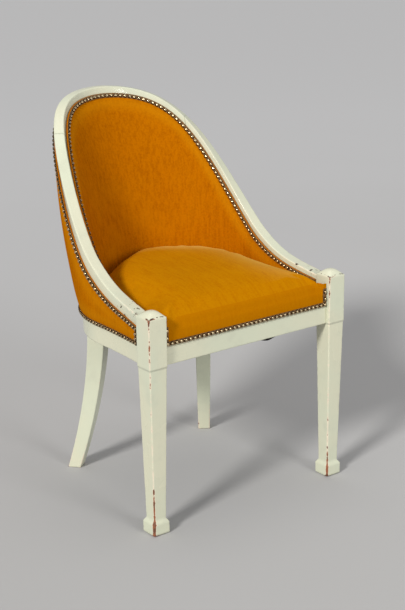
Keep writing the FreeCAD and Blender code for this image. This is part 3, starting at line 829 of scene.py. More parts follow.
@dataclass
class Member:
    """One painted wooden member: rings of an eased section along its length."""

    node: str
    rings: Array
    edge: Array
    wear: float = 0.75
    dent: float = 0.0009
    ends: tuple[bool, bool] = (True, True)
    chips: Line | None = None
    worn: Line | None = None
    ease: float = 0.0007
    ease_in: float = 1.6
    end_wear: Span = (0.30, 0.85)
    dent_scales: Span = (95.0, 310.0)
    least_dent: float = 0.05

    def eased_ends(self) -> tuple[Array, Array]:
        """Adds a small chamfer and a closing ring at each end.

        Returns:
            The rings, and how near each point is to an edge.
        """
        rings, edges = list(self.rings), list(self.edge)
        for last in (False, True):
            here, nearby = (rings[-1], rings[-2]) if last else (rings[0], rings[1])
            middle = here.mean(0)
            spread = np.linalg.norm(here - middle, axis=1, keepdims=True)
            inner = middle + (here - middle) * (1 - self.ease * self.ease_in / spread)
            back = (nearby - here) / np.linalg.norm(nearby - here, axis=1, keepdims=True)
            half = middle + (here - middle) * 0.5
            flag = np.full(len(here), self.end_wear[self.ends[last]])
            add = [here + back * self.ease, inner, half]
            values = [np.maximum(edges[-1 if last else 0], flag), flag, flag * 0]
            if last:
                rings[-1:], edges[-1:] = add, values
            else:
                rings[:1], edges[:1] = add[::-1], values[::-1]
        return np.array(rings), np.array(edges)

    def build(self, finish: Material) -> Piece:
        """Makes the mesh, knocks its edges about and dresses it.

        Args:
            finish: The paint.

        Returns:
            The new piece.
        """
        rings, edge = self.eased_ends()
        rows, columns = edge.shape
        flat = rings.reshape(-1, 3)
        mesh = new_mesh(f"painted_{self.node}", flat, tube_faces(rows, columns))
        steps = np.linalg.norm(np.diff(rings, axis=0), axis=2).mean(1)
        along = np.concatenate([[0.0], np.cumsum(steps)])
        around = np.cumsum(np.linalg.norm(rings[rows // 2] - np.roll(rings[rows // 2], 1, 0), axis=1))
        put_uv(mesh, np.stack([np.repeat(along, columns), np.tile(around, rows)], -1))
        worn = edge.ravel() * (self.wear if self.worn is None else self.worn(flat))
        put_values(mesh, "edge", worn)
        put_values(mesh, "chip", np.zeros(len(flat)) if self.chips is None else self.chips(flat))
        self.knock(mesh, edge.ravel() * np.clip(worn, 0.3, 1.2))
        shade_smooth(mesh)
        return settle(make_object(mesh, finish), Slot.PAINT, self.node)

    def knock(self, mesh: Mesh, weights: Array) -> None:
        """Points the faces outwards and dents the worn edges.

        Args:
            mesh: The mesh, which is changed.
            weights: How worn each vertex is.
        """
        broad, fine = self.dent_scales
        bm = bmesh.new()
        bm.from_mesh(mesh)
        bmesh.ops.recalc_face_normals(bm, faces=bm.faces)
        bm.normal_update()
        for v, w in zip(bm.verts, weights):
            if w > 0.3:
                rough = noise.fractal(v.co * broad, 0.8, 2.0, 3) + 0.6 * noise.noise(v.co * fine)
                v.co -= v.normal * (self.dent * w * max(rough - self.least_dent, 0.0))
        bm.to_mesh(mesh)
        bm.free()


def lines_from(rings: Array, y: float) -> Array:
    """Trims every lengthwise line of some rings so that it starts on the upright plane at y.

    Args:
        rings: Rings that start in front of the plane.
        y: Where the plane is.

    Returns:
        As many rings, from the plane on.
    """
    index = np.arange(len(rings), dtype=float)
    head = max(12, len(rings) // 4)
    out = np.empty_like(rings)
    for j in range(rings.shape[1]):
        first = float(np.interp(y, rings[:head, j, 1], index[:head]))
        where = first + (index[-1] - first) * index / index[-1]
        for axis in range(3):
            out[:, j, axis] = np.interp(where, index, rings[:, j, axis])
    return out


@dataclass
class FrontLegs:
    """Front legs: domed post, fine collar, tapered shaft and foot block."""

    paint: Material
    neck: float = 0.040
    ankle: float = 0.0285
    foot: float = 0.038
    foot_high: float = 0.032
    foot_shoulder: float = 0.025
    foot_bevel: float = 0.003
    post_top: float = 0.447
    dome: float = 0.012
    step: float = 0.003
    radius: float = 0.0016
    collar_gap: float = 0.0003
    dome_seat: float = 0.0008
    bevel_wear: float = 0.48
    dent: float = 0.0011
    dome_rings: tuple[Span, ...] = ((0.985, 0.95), (0.955, 0.80), (0.90, 0.35), (0.82, 0.0), (0.72, 0.0),
                                    (0.60, 0.0), (0.46, 0.0), (0.32, 0.0), (0.18, 0.0), (0.06, 0.0))
    wear_profile: tuple[Colour, ...] = (
        (0.000, 1.75, 1.40), (0.026, 1.75, 1.40), (0.034, 1.02, 0.90), (0.060, 0.98, 0.88),
        (0.095, 0.90, 0.84), (0.120, 0.68, 0.74), (0.290, 0.63, 0.56), (0.330, 0.74, 0.58),
        (0.355, 0.76, 0.66), (0.385, 0.90, 0.72), (0.400, 0.82, 0.74), (0.412, 0.60, 0.76),
        (0.424, 0.86, 0.84), (0.438, 0.92, 0.88), (0.447, 1.35, 1.05))
    dome_curve: Span = (2.4, 0.9)
    rim_low: float = 0.002
    chip_at: Span = (0.92, 0.07)
    chip_low: float = 0.003
    chip_base: float = 0.10
    chip_front: float = 0.49
    chip_back: float = 0.40
    corner_share: float = 0.4
    edge_wear: float = 0.44
    foot_wear: float = 0.12
    foot_wear_high: float = 0.05

    def levels(self) -> list[Span]:
        """Side and height of each ring from the floor up to the dome.

        Returns:
            The rings' sizes.
        """
        side, collar = SHELL.post_side, SHELL.frame_bottom
        marks = [(self.foot - 2 * self.foot_bevel, 0.0), (self.foot, self.foot_bevel),
                 (self.foot, self.foot_shoulder), (self.ankle, self.foot_high),
                 (self.neck, collar - self.collar_gap), (side, collar + self.collar_gap),
                 (side, self.post_top - self.rim_low)]
        rows = [marks[0]]
        for (s0, z0), (s1, z1) in zip(marks, marks[1:]):
            count = max(1, int((z1 - z0) / self.step))
            rows += [(s0 + (s1 - s0) * i / count, z0 + (z1 - z0) * i / count) for i in range(1, count + 1)]
        return rows

    def build(self) -> list[Piece]:
        """Builds and dresses both legs."""
        return [self.leg(side) for side in Side]

    def leg(self, side: Side) -> Piece:
        """One leg, from the floor to the top of its dome.

        Args:
            side: Which leg.

        Returns:
            The new piece.
        """
        half = SHELL.post_side / 2
        middle = np.array([side.value * (SHELL.half_width - half), SHELL.post_back - half, 0.0])
        rings, edges = [], []
        for size, z in self.levels():
            h = size / 2
            pts, edge = rounded(((-h, -h), (h, -h), (h, h), (-h, h)), (self.radius,) * 4)
            rings.append(np.column_stack([pts, np.full(len(pts), z)]) + middle)
            on_bevel = min(abs(z - self.foot_shoulder), abs(z - self.foot_bevel)) < self.radius
            edges.append(np.maximum(edge, self.bevel_wear if on_bevel else 0.0))
        base = rings[-1] - middle
        bulge, fall = self.dome_curve
        for share, near in self.dome_rings:
            flat = base * np.array([share, share, 0.0])
            lift = np.prod(1 - np.abs(flat[:, :2] / half) ** bulge, axis=1) ** fall
            flat[:, 2] = self.post_top - self.dome_seat + self.dome * lift
            rings.append(flat + middle)
            edges.append(np.full(len(flat), near))
        return Member(f"front_leg_{side.tag}", np.array(rings), np.array(edges), dent=self.dent,
                      worn=lambda p: self.worn(p, side, middle),
                      chips=lambda p: self.chips(p, middle)).build(self.paint)

    def worn(self, p: Array, side: Side, middle: Array) -> Array:
        """How worn the edges are: most on the left front corner, the feet and the post's top.

        Args:
            p: The leg's points.
            side: Which leg.
            middle: Its middle in plan.

        Returns:
            The wear at each point.
        """
        near = ramp((middle - p)[:, :2], 0.0, self.ankle * self.corner_share).prod(1)
        heights, left, right = zip(*self.wear_profile)
        most = np.interp(p[:, 2], heights, left if side is Side.LEFT else right)
        low = self.foot_wear * np.clip(1 - p[:, 2] / self.foot_wear_high, 0, 1)
        return self.edge_wear * (1 - near) + most * near + low * (1 - near)

    def chips(self, p: Array, middle: Array) -> Array:
        """Flaked paint along the upper edge of the posts, most of it at the front.

        Args:
            p: The leg's points.
            middle: Its middle in plan.

        Returns:
            How readily the paint flakes at each point.
        """
        out = np.abs(p - middle)[:, :2].max(1) / (SHELL.post_side / 2)
        at, wide = self.chip_at
        rim = np.exp(-((out - at) / wide) ** 2) * (p[:, 2] > self.post_top - self.chip_low)
        return self.chip_base + rim * np.where(p[:, 1] < middle[1], self.chip_front, self.chip_back)


@dataclass(frozen=True)
class LegPlan:
    """Where the rear legs meet the seat frame, which cloth and tacks keep off."""

    run: float = 0.69
    turn: float = 37.0
    top_size: Span = (0.039, 0.038)

    def lie(self) -> tuple[Array, Array, Array]:
        """How the right leg stands.

        Returns:
            Which way it splays, the way across it, and the middle of its top.
        """
        way = np.array([math.sin(math.radians(self.turn)), math.cos(math.radians(self.turn)), 0.0])
        across = np.array([way[1], -way[0], 0.0])
        return way, across, SHELL.point(self.run, SHELL.frame_bottom, 0.0) - way * (self.top_size[0] / 2)


LEG_PLAN = LegPlan()


@dataclass
class RearLegs:
    """Rear legs: swept back and out in one slow curve, tapering to the floor."""

    paint: Material
    splay: float = 0.064
    curve: float = 1.8
    foot_size: Span = (0.028, 0.027)
    radius: float = 0.0018
    top_gap: float = 0.0003
    rings: int = 110
    edge_wear: float = 0.46
    floor_wear: float = 0.34
    floor_wear_high: float = 0.10

    def worn(self, p: Array) -> Array:
        """How worn the edges are: most near the floor."""
        return self.edge_wear + self.floor_wear * np.clip(1 - p[:, 2] / self.floor_wear_high, 0, 1)

    def build(self) -> list[Piece]:
        """Builds and dresses both legs.

        Returns:
            The two pieces.
        """
        way, across, head = LEG_PLAN.lie()
        rings, edges = [], []
        for z in np.linspace(0.0, SHELL.frame_bottom - self.top_gap, self.rings):
            down = 1 - z / SHELL.frame_bottom
            deep, wide = ((a + (b - a) * down) / 2 for a, b in zip(LEG_PLAN.top_size, self.foot_size))
            corners = ((deep, -wide), (deep, wide), (-deep, wide), (-deep, -wide))
            pts, edge = rounded(corners, (self.radius,) * 4)
            ring = head + way * (self.splay * down ** self.curve) + pts[:, :1] * way + pts[:, 1:] * across
            ring[:, 2] = z
            rings.append(ring)
            edges.append(edge)
        return [Member(f"rear_leg_{side.tag}", flipped(np.array(rings), side), np.array(edges),
                       worn=self.worn).build(self.paint) for side in Side]


@dataclass
class SeatFrame:
    """Painted show faces of the seat frame: front rail, curved side rails and back rail."""

    paint: Material
    thick: float = 0.028
    front_face: float = -0.2635
    front_back: float = -0.2375
    rebate: float = 0.0025
    back_joint: float = 0.78
    joint_gap: float = 0.00015
    front_radii: tuple[float, ...] = (0.0018, 0.0015, 0.001, 0.001, 0.0006, 0.0012)
    front_wear: float = 0.52
    round_wear: float = 0.50
    front_rings: int = 150
    side_rings: int = 150
    back_rings: int = 90

    def build(self) -> list[Piece]:
        """Builds and dresses the four rails."""
        return [self.front_rail(), *self.round_rails()]

    def front_rail(self) -> Piece:
        """Front rail with the rebate that the velvet is nailed in.

        Returns:
            The new piece.
        """
        low, top, show = SHELL.frame_bottom, SHELL.tack_top, SHELL.band_top
        step = self.front_face + self.rebate
        profile = ((self.front_face, low), (self.front_back, low), (self.front_back, top),
                   (step, top), (step, show), (self.front_face, show))
        pts, edge = rounded(profile, self.front_radii, 2)
        half = SHELL.post_in - SHELL.butt
        rings = np.array([np.column_stack([np.full(len(pts), x), pts])
                          for x in np.linspace(-half, half, self.front_rings)])
        return Member("front_seat_rail", rings, np.tile(edge, (self.front_rings, 1)), wear=self.front_wear,
                      ends=(False, False)).build(self.paint)

    def round_rails(self) -> list[Piece]:
        """Side rails and back rail, upright in the show band and raked above it.

        Returns:
            The three pieces.
        """
        low, top = SHELL.frame_bottom, SHELL.tack_top
        corners = ((0.0, low), (-self.thick, low), (-self.thick, top), (0.0, top))
        pts, edge = rounded(corners, self.front_radii[:4], 2)
        for face in (-self.thick, 0.0):
            on_face = np.flatnonzero(np.abs(pts[:, 0] - face) < 1e-6)
            pts[on_face[np.argmin(np.abs(pts[on_face, 1] - SHELL.band_top))], 1] = SHELL.band_top
        gap = self.joint_gap / SHELL.length

        def swept(first: float, last: float, count: int) -> Array:
            """Rings of the curved rails' section."""
            return np.array([SHELL.point(t, pts[:, 1], pts[:, 0]) for t in np.linspace(first, last, count)])

        def rail(node: str, rings: Array, ends: tuple[bool, bool]) -> Piece:
            """One curved rail of some rings."""
            edges = np.tile(edge, (len(rings), 1))
            return Member(node, rings, edges, wear=self.round_wear, ends=ends).build(self.paint)

        beside = swept(SHELL.before_post, self.back_joint - gap, self.side_rings)
        beside = lines_from(beside, SHELL.post_back + SHELL.butt)
        behind = swept(self.back_joint + gap, 2 - self.back_joint - gap, self.back_rings)
        sides = [rail(f"side_seat_rail_{side.tag}", flipped(beside, side), (False, True))
                 for side in Side]
        return [*sides, rail("back_seat_rail", behind, (True, True))]


@dataclass
class SweptRails:
    """Arm rails and crest rail: one swept line from post to post, joined at the shoulders."""

    paint: Material
    depth: float = 0.036
    shoulder: float = 0.595
    ease: float = 0.0024
    lower_ease: float = 0.001
    gap: float = 0.0002
    pitch: float = 0.0032
    crest_wear: float = 0.44
    arm_wear: Span = (0.46, 0.22)
    arm_wear_ramp: Span = (0.10, 0.1)
    arm_chips: Span = (0.12, 0.30)
    arm_chips_ramp: Span = (0.02, 0.16)

    def section(self, t: float) -> tuple[Array, Array]:
        """The rail's section at one place.

        Args:
            t: Place round the back.

        Returns:
            Its points, and how near each is to an edge.
        """
        face = float(SHELL.rail_face(t))
        corners = ((0.0, 0.0), (0.0, self.depth), (-face, self.depth), (-face, 0.0))
        pts, edge = rounded(corners, (self.ease, self.lower_ease, self.lower_ease, self.ease), 4)
        z = SHELL.rail_height(t) - SHELL.stretch(t) * pts[:, 1]
        return SHELL.point(t, z, pts[:, 0]), edge

    def sweep(self, first: float, last: float) -> tuple[Array, Array]:
        """Rings evenly spaced along the rail.

        Args:
            first: Where they start round the back.
            last: Where they end.

        Returns:
            The rings, and how near each point is to an edge.
        """
        ts = np.linspace(first, last, 800)
        lengths = run_lengths(SHELL.point(ts, SHELL.rail_height(ts), 0.0))
        even = np.interp(np.linspace(0, lengths[-1], int(lengths[-1] / self.pitch)), lengths, ts)
        rings, edges = zip(*(self.section(t) for t in even))
        return np.array(rings), np.array(edges)

    def build(self) -> list[Piece]:
        """Builds and dresses the three rails.

        Returns:
            The three pieces.
        """
        gap = self.gap / SHELL.length
        rings, edges = self.sweep(SHELL.before_post, self.shoulder - gap)
        rings = lines_from(rings, SHELL.post_back + SHELL.butt)
        arms = [Member(f"arm_rail_{side.tag}", flipped(rings, side), edges, ends=(False, True),
                       worn=self.worn, chips=self.chips).build(self.paint) for side in Side]
        rings, edges = self.sweep(self.shoulder + gap, 2 - self.shoulder - gap)
        return [*arms, Member("crest_rail", rings, edges, wear=self.crest_wear).build(self.paint)]

    def worn(self, p: Array) -> Array:
        """How worn the arm rails' edges are: most near the posts."""
        least, more = self.arm_wear
        return least + more * ramp(-p[:, 1], *self.arm_wear_ramp)

    def chips(self, p: Array) -> Array:
        """Flaked paint on the flat of the arm rails, most of it near the posts."""
        least, more = self.arm_chips
        return least + more * ramp(-p[:, 1], *self.arm_chips_ramp)


def simulate(piece: Piece, held: Array, pressure: float, cap: float, frames: int = 20) -> None:
    """Swells a soft piece by a cloth simulation and keeps the result in its mesh.

    Args:
        piece: The piece, whose mesh is changed.
        held: How firmly each vertex is held, 1 where it is nailed down.
        pressure: Pressure of the stuffing.
        cap: Most that a point may move, in metres.
        frames: Frames to run.
    """
    rest = places(piece.data)
    group = piece.vertex_groups.new(name="held")
    for i, w in enumerate(held):
        if w > 0.0:
            group.add([i], float(w), "REPLACE")
    cloth = piece.modifiers.new("stuffing", "CLOTH")
    settings = cloth.settings
    settings.vertex_group_mass = group.name
    settings.use_pressure = True
    settings.uniform_pressure_force = pressure
    settings.effector_weights.gravity = 0.0
    settings.quality = 4
    settings.mass = 0.25
    settings.tension_stiffness = settings.compression_stiffness = 12.0
    settings.bending_stiffness = 1.5
    cloth.collision_settings.use_collision = False
    cloth.point_cache.frame_start, cloth.point_cache.frame_end = 1, frames
    scene = bpy.context.scene
    for number in range(1, frames + 1):
        scene.frame_set(number)
    step = places(piece.evaluated_get(bpy.context.evaluated_depsgraph_get()).data) - rest
    piece.modifiers.remove(cloth)
    piece.vertex_groups.remove(group)
    scene.frame_set(1)
    size = np.linalg.norm(step, axis=1, keepdims=True)
    step *= cap * np.tanh(size / cap) / np.maximum(size, 1e-9)
    piece.data.vertices.foreach_set("co", (rest + step).ravel())
    piece.data.update()


def smoothed(piece: Piece) -> None:
    """Subdivides a piece once, after its other modifiers, and keeps the result as its mesh.

    Args:
        piece: The piece, which gets the new mesh.
    """
    soften = piece.modifiers.new("soften", "SUBSURF")
    soften.levels = soften.render_levels = 1
    finished = evaluated(piece)
    piece.modifiers.clear()
    old, piece.data = piece.data, finished
    finished.name = piece.name
    bpy.data.meshes.remove(old)
    shade_smooth(finished)


@dataclass
class BackCovers:
    """Velvet on the inside and the outside of the back, drawn tight over its stuffing."""

    velvet: Material
    roll: float = 0.0042
    roll_wide: float = 0.034
    roll_fade: float = 0.06
    tuck: float = 0.02
    full_height: float = 0.2
    crowded: float = 0.07
    inside_back: float = 0.0020
    outside_back: float = 0.0004
    rows: int = 60
    inside_columns: int = 190
    outside_columns: int = 200
    nailed: float = 0.004
    pressure: float = 3.0
    most_swell: float = 0.0025
    rub_from_strip: float = 0.012
    rub_wide: float = 0.02
    rub_share: float = 0.6
    round_edges: float = 3.0

    def panel(self, name: str, end: float, low: float, high: Line, face: Face, back: Line, way: int,
              columns: int) -> Piece:
        """A padded panel round the shell, closed at the back.

        Args:
            name: Name of the piece.
            end: Where the panel starts, from the post.
            low: Height of its lower edge.
            high: Height of its upper edge.
            face: How far out its face stands at t and height.
            back: How far out its back stands at t.
            way: 1 where the face looks out, -1 where it looks in.
            columns: Points round the shell.

        Returns:
            The new object.
        """
        ts = np.linspace(end, 2 - end, columns)[:, None]
        share = np.linspace(0, 1, self.rows)[None, :]
        share = share - self.crowded * np.sin(2 * math.pi * share)
        top = high(ts)
        z = low + (top - low) * share
        below, above = (top - z) / SHELL.stretch(ts), z - low
        side = np.minimum(ts - end, 2 - end - ts) * SHELL.length
        room = np.minimum(np.minimum(below, above + (self.tuck if way < 0 else 0.0)) - SHELL.strip, side)
        swell = self.roll * np.clip(room / self.roll_wide, 0, 1) ** 0.7
        swell *= np.exp(-np.clip(room, 0, 1) / self.roll_fade)
        swell *= np.clip((top - low) / self.full_height, 0.25, 1) if way < 0 else 0.5
        front = SHELL.point(ts, z, face(ts, z) + way * np.maximum(swell, 0))
        piece = make_object(slabs(name, [(front, SHELL.point(ts, z, back(ts)))], self.round_edges))
        if way > 0:
            held = (room < self.nailed).ravel().astype(float)
            simulate(piece, np.concatenate([held, np.ones(held.size)]), self.pressure, self.most_swell)
        # a lighter band of velvet along the strips, in the same attribute as the seat's painted sheen
        rub = np.clip(1 - np.abs(room - self.rub_from_strip) / self.rub_wide, 0, 1).ravel() * self.rub_share
        put_values(piece.data, "rub", np.concatenate([rub, rub]))
        smoothed(piece)
        piece.data.materials.append(self.velvet)
        return piece

    def build(self) -> list[Piece]:
        """Builds and dresses both panels.

        Returns:
            The two pieces.
        """
        inside = self.panel("inside_back_velvet", SHELL.inside_end, SHELL.panel_low, SHELL.inner_line,
                            SHELL.inside_face, lambda t: -SHELL.rail_face(t) - self.inside_back, -1,
                            self.inside_columns)
        outside = self.panel("outside_back_velvet", SHELL.outside_end, SHELL.hem_low, SHELL.outer_line,
                             SHELL.outside_face, lambda t: self.outside_back + 0 * t, 1, self.outside_columns)
        return [settle(inside, Slot.VELVET, "inside_back_cover", "back_stuffing"),
                settle(outside, Slot.VELVET, "outside_back_cover", "back_wadding")]


@dataclass
class SeatCover:
    """Crowned velvet seat: boxed front, rounded edge, soft crown."""

    velvet: Material
    side_runs: tuple[float, ...] = (0.03, 0.12, 0.22)
    side_clear: float = 0.0045
    back_clear: float = 0.0010
    wall: float = 0.020
    draw: float = 0.0008
    edge: float = 0.016
    edge_turn: float = 78.0
    crown: float = 0.020
    middle: float = 0.043
    tilt: float = 0.06
    top_tilt: float = 0.035
    voxel: float = 0.005
    shrink: float = 0.0018
    pressure: float = 4.0
    most_swell: float = 0.0055
    held_high: Span = (0.008, 0.006)
    side_fall: Span = (0.50, 0.12)
    side_round: float = 0.040
    back_reach: float = 0.19
    fuller: float = 1.06
    front_swell: float = 0.0028
    front_ramp: Span = (-0.225, 0.07)
    left_ramp: Span = (0.0, 0.10)
    right_ramp: Span = (-0.03, 0.11)
    # where the seat's painted sheen lies, and how steep a face must be to get painted shade
    rub_way: Span = (0.5, 0.9)
    rub_ramp: Span = (0.03, 0.12)
    rub_high: Span = (0.415, 0.02)
    rub_shares: Span = (0.6, 0.9)
    brush_in: float = 0.065
    brush_x: Span = (0.0, 0.05)
    brush_y: Span = (-0.24, 0.08)
    steep: Span = (0.85, 0.6)
    steep_ramp: Span = (0.19, 0.03)
    lap: float = 0.030
    lap_from: float = 0.392
    lap_thick: float = 0.0013
    lap_grid: tuple[int, int] = (120, 26)
    lap_pull: float = 0.985
    lap_above: float = 0.006
    lap_off: float = 0.0001
    ray_start: float = -0.5
    ray_last: float = -0.2

    def room(self, t: float, clear: float) -> float:
        """How far the seat stays in from the shell.

        Args:
            t: Place round the back.
            clear: Clearance to the inside cover.

        Returns:
            The distance.
        """
        rim = SHELL.panel_low + self.wall + self.edge
        rim += self.tilt * (float(SHELL.point(t, SHELL.panel_low, 0.0)[1]) - SHELL.cover_front)
        return clear - float(SHELL.inside_face(t, min(rim, float(SHELL.inner_line(t)))))

    def half_wide(self) -> float:
        """Half the seat's width where the round of the back starts."""
        return SHELL.side_x - self.room(SHELL.round_run, self.side_clear)

    def outline(self, z: float, tilt: float, inset: float) -> Array:
        """Points round the seat at one level.

        Args:
            z: Height at the front.
            tilt: Rise towards the back.
            inset: How far in from the seat's side.

        Returns:
            The points, from the right front corner round the back.
        """
        seat_front, half_wide = SHELL.cover_front, self.half_wide()
        reach = SHELL.round_depth - self.room(1.0, self.back_clear)
        reach += SHELL.rake * (z + tilt * (SHELL.round_y + reach - seat_front) - SHELL.panel_low)
        front = seat_front + inset
        side = [(SHELL.half_front - inset, front)]
        for t in self.side_runs:
            beside = SHELL.point(t, SHELL.panel_low, -self.room(t, self.side_clear))
            part = (beside[1] - seat_front) / (SHELL.round_y - seat_front)
            side.append((min(beside[0], SHELL.half_front) - inset, front + part * (SHELL.round_y - front)))
        arc = [((half_wide - inset) * math.cos(a), SHELL.round_y + (reach - inset) * math.sin(a))
               for a in np.linspace(0, math.pi, 41)]
        loop = side + arc + [(-x, y) for x, y in reversed(side)]
        return np.array([(x, y, z + tilt * (y - seat_front)) for x, y in loop])

    def form(self) -> Piece:
        """The closed seat before it is stuffed.

        Returns:
            The new object.
        """
        levels = [(0.0, 0.0, self.draw), (self.wall / 2, 0.0, 0.0), (self.wall, 0.0, self.draw)]
        for part in np.linspace(0.2, 1.0, 5):
            angle = math.radians(self.edge_turn * part)
            levels.append((self.wall + self.edge * math.sin(angle), self.tilt * part,
                           self.draw + self.edge * (1 - math.cos(angle))))
        up, tilt, inset = levels[-1]
        crown_in = SHELL.round_depth - self.room(1.0, self.back_clear) - self.middle
        for part in np.linspace(0.1, 1.0, 10):
            levels.append((up + self.crown * (1 - (1 - part) ** 2), tilt + (self.top_tilt - tilt) * part,
                           inset + crown_in * part))
        rings = [self.outline(SHELL.panel_low + u - self.shrink * (u > 0), k, i + self.shrink)
                 for u, k, i in levels]
        count, last = len(rings[0]), (len(rings) - 1) * len(rings[0])
        faces = grid_faces(len(rings), count, True) + [tuple(range(count))]
        faces += [(last + i, last + (i + 1) % count, last + count) for i in range(count)]
        mesh = new_mesh("seat_velvet", np.concatenate([*rings, rings[-1].mean(0, keepdims=True)]), faces)
        face_out(mesh)
        return make_object(mesh)

    def build(self) -> list[Piece]:
        """Builds, stuffs and dresses the seat and the velvet on its front.

        Returns:
            The two pieces.
        """
        seat = self.form()
        remesh = seat.modifiers.new("even", "REMESH")
        remesh.mode, remesh.voxel_size, remesh.use_smooth_shade = "VOXEL", self.voxel, True
        soft = seat.modifiers.new("soft", "SMOOTH")
        soft.factor, soft.iterations = 0.5, 6
        even = evaluated(seat)
        seat.modifiers.clear()
        seat.data = even
        even.name = "seat_velvet"
        top, fade = self.held_high
        held = np.clip((SHELL.panel_low + top - places(even)[:, 2]) / fade, 0, 1)
        simulate(seat, held, self.pressure, self.most_swell)
        self.shape(even)
        calm = seat.modifiers.new("calm", "SMOOTH")
        calm.factor, calm.iterations = 0.5, 5
        smoothed(seat)
        seat.data.materials.append(self.velvet)
        return [settle(seat, Slot.VELVET, "seat_cover", "seat_stuffing"), self.apron(seat)]

    def shape(self, mesh: Mesh) -> None:
        """Lets the seat's sides fall, keeps it off its neighbours, and marks painted sheen at its rear and
        right-hand edge and painted shade on its front.

        Args:
            mesh: The stuffed seat, which is changed.
        """
        x, y, z = (column.copy() for column in places(mesh).T)
        low, wide = SHELL.panel_low, self.half_wide()
        behind = np.maximum(y - SHELL.round_y, 0) / self.back_reach
        inward = wide * np.clip(1 - np.hypot(x / wide, behind), 0, 1)
        sides = np.where(x < 0, ramp(-x, *self.left_ramp), ramp(-y, *self.right_ramp))
        beside = ramp(y, *self.front_ramp) * sides
        drop = 1 - np.where(x < 0, *self.side_fall) * np.exp(-(inward / self.side_round) ** 2) * beside
        z = np.maximum(low + np.maximum(z - low, 0) * drop * self.fuller, low)
        y = np.maximum(y, SHELL.cover_front - self.front_swell)
        limit = np.where(y < SHELL.post_back, SHELL.half_front, 1.0)
        x = np.clip(x, -limit, limit)
        mesh.vertices.foreach_set("co", np.stack([x, y, z], -1).ravel())
        mesh.update()
        way = np.empty(len(x) * 3)
        mesh.vertex_normals.foreach_get("vector", way)
        # painted sheen towards the rear and along the right-hand edge, where light grazes the velvet; painted
        # shade on the front-facing faces
        rear = ramp(self.rub_way[0] * x + self.rub_way[1] * y, *self.rub_ramp)
        most, span = self.steep
        upright = np.clip(most - way.reshape(-1, 3)[:, 2], 0, span) / span * ramp(-y, *self.steep_ramp)
        edge_sheen = np.exp(-(inward / self.brush_in) ** 2) * ramp(x, *self.brush_x) * ramp(y, *self.brush_y)
        rub = np.clip(self.rub_shares[0] * rear + self.rub_shares[1] * edge_sheen, 0, 1)
        put_values(mesh, "rub", rub * ramp(z, *self.rub_high) - upright)

    def apron(self, seat: Piece) -> Piece:
        """The velvet that runs down from the seat's front to the nail row.

        Args:
            seat: The finished seat, which the upper part of the velvet lies on.

        Returns:
            The new object.
        """
        columns, rows = self.lap_grid
        low, high = SHELL.hem_low, SHELL.panel_low + self.lap
        zs = np.linspace(low, high, rows)
        front = np.zeros((columns, rows, 3))
        for c, x in enumerate(np.linspace(-SHELL.half_front, SHELL.half_front, columns)):
            lies = 0.0
            for r in range(rows - 1, -1, -1):
                z = float(zs[r])
                share = float(ramp(z, self.lap_from, self.lap))
                share *= share * (3 - 2 * share)
                start = (x * self.lap_pull, self.ray_start, max(z, SHELL.panel_low + self.lap_above))
                hit, spot, _, _ = seat.ray_cast(start, (0.0, 1.0, 0.0))
                on_seat = hit and spot.y < self.ray_last
                lies = min(lies, spot.y - self.lap_off if on_seat else SHELL.cover_front)
                front[c, r] = (x, SHELL.cover_front * (1 - share) + lies * share, z)
        mesh = slabs("seat_front_velvet", [(front, front + (0.0, self.lap_thick, 0.0))])
        # painted shade over all of the seat's front velvet, the same as on the seat's front-facing faces
        put_values(mesh, "rub", np.full(len(mesh.vertices), -1.0))
        piece = make_object(mesh, self.velvet)
        return settle(piece, Slot.VELVET)


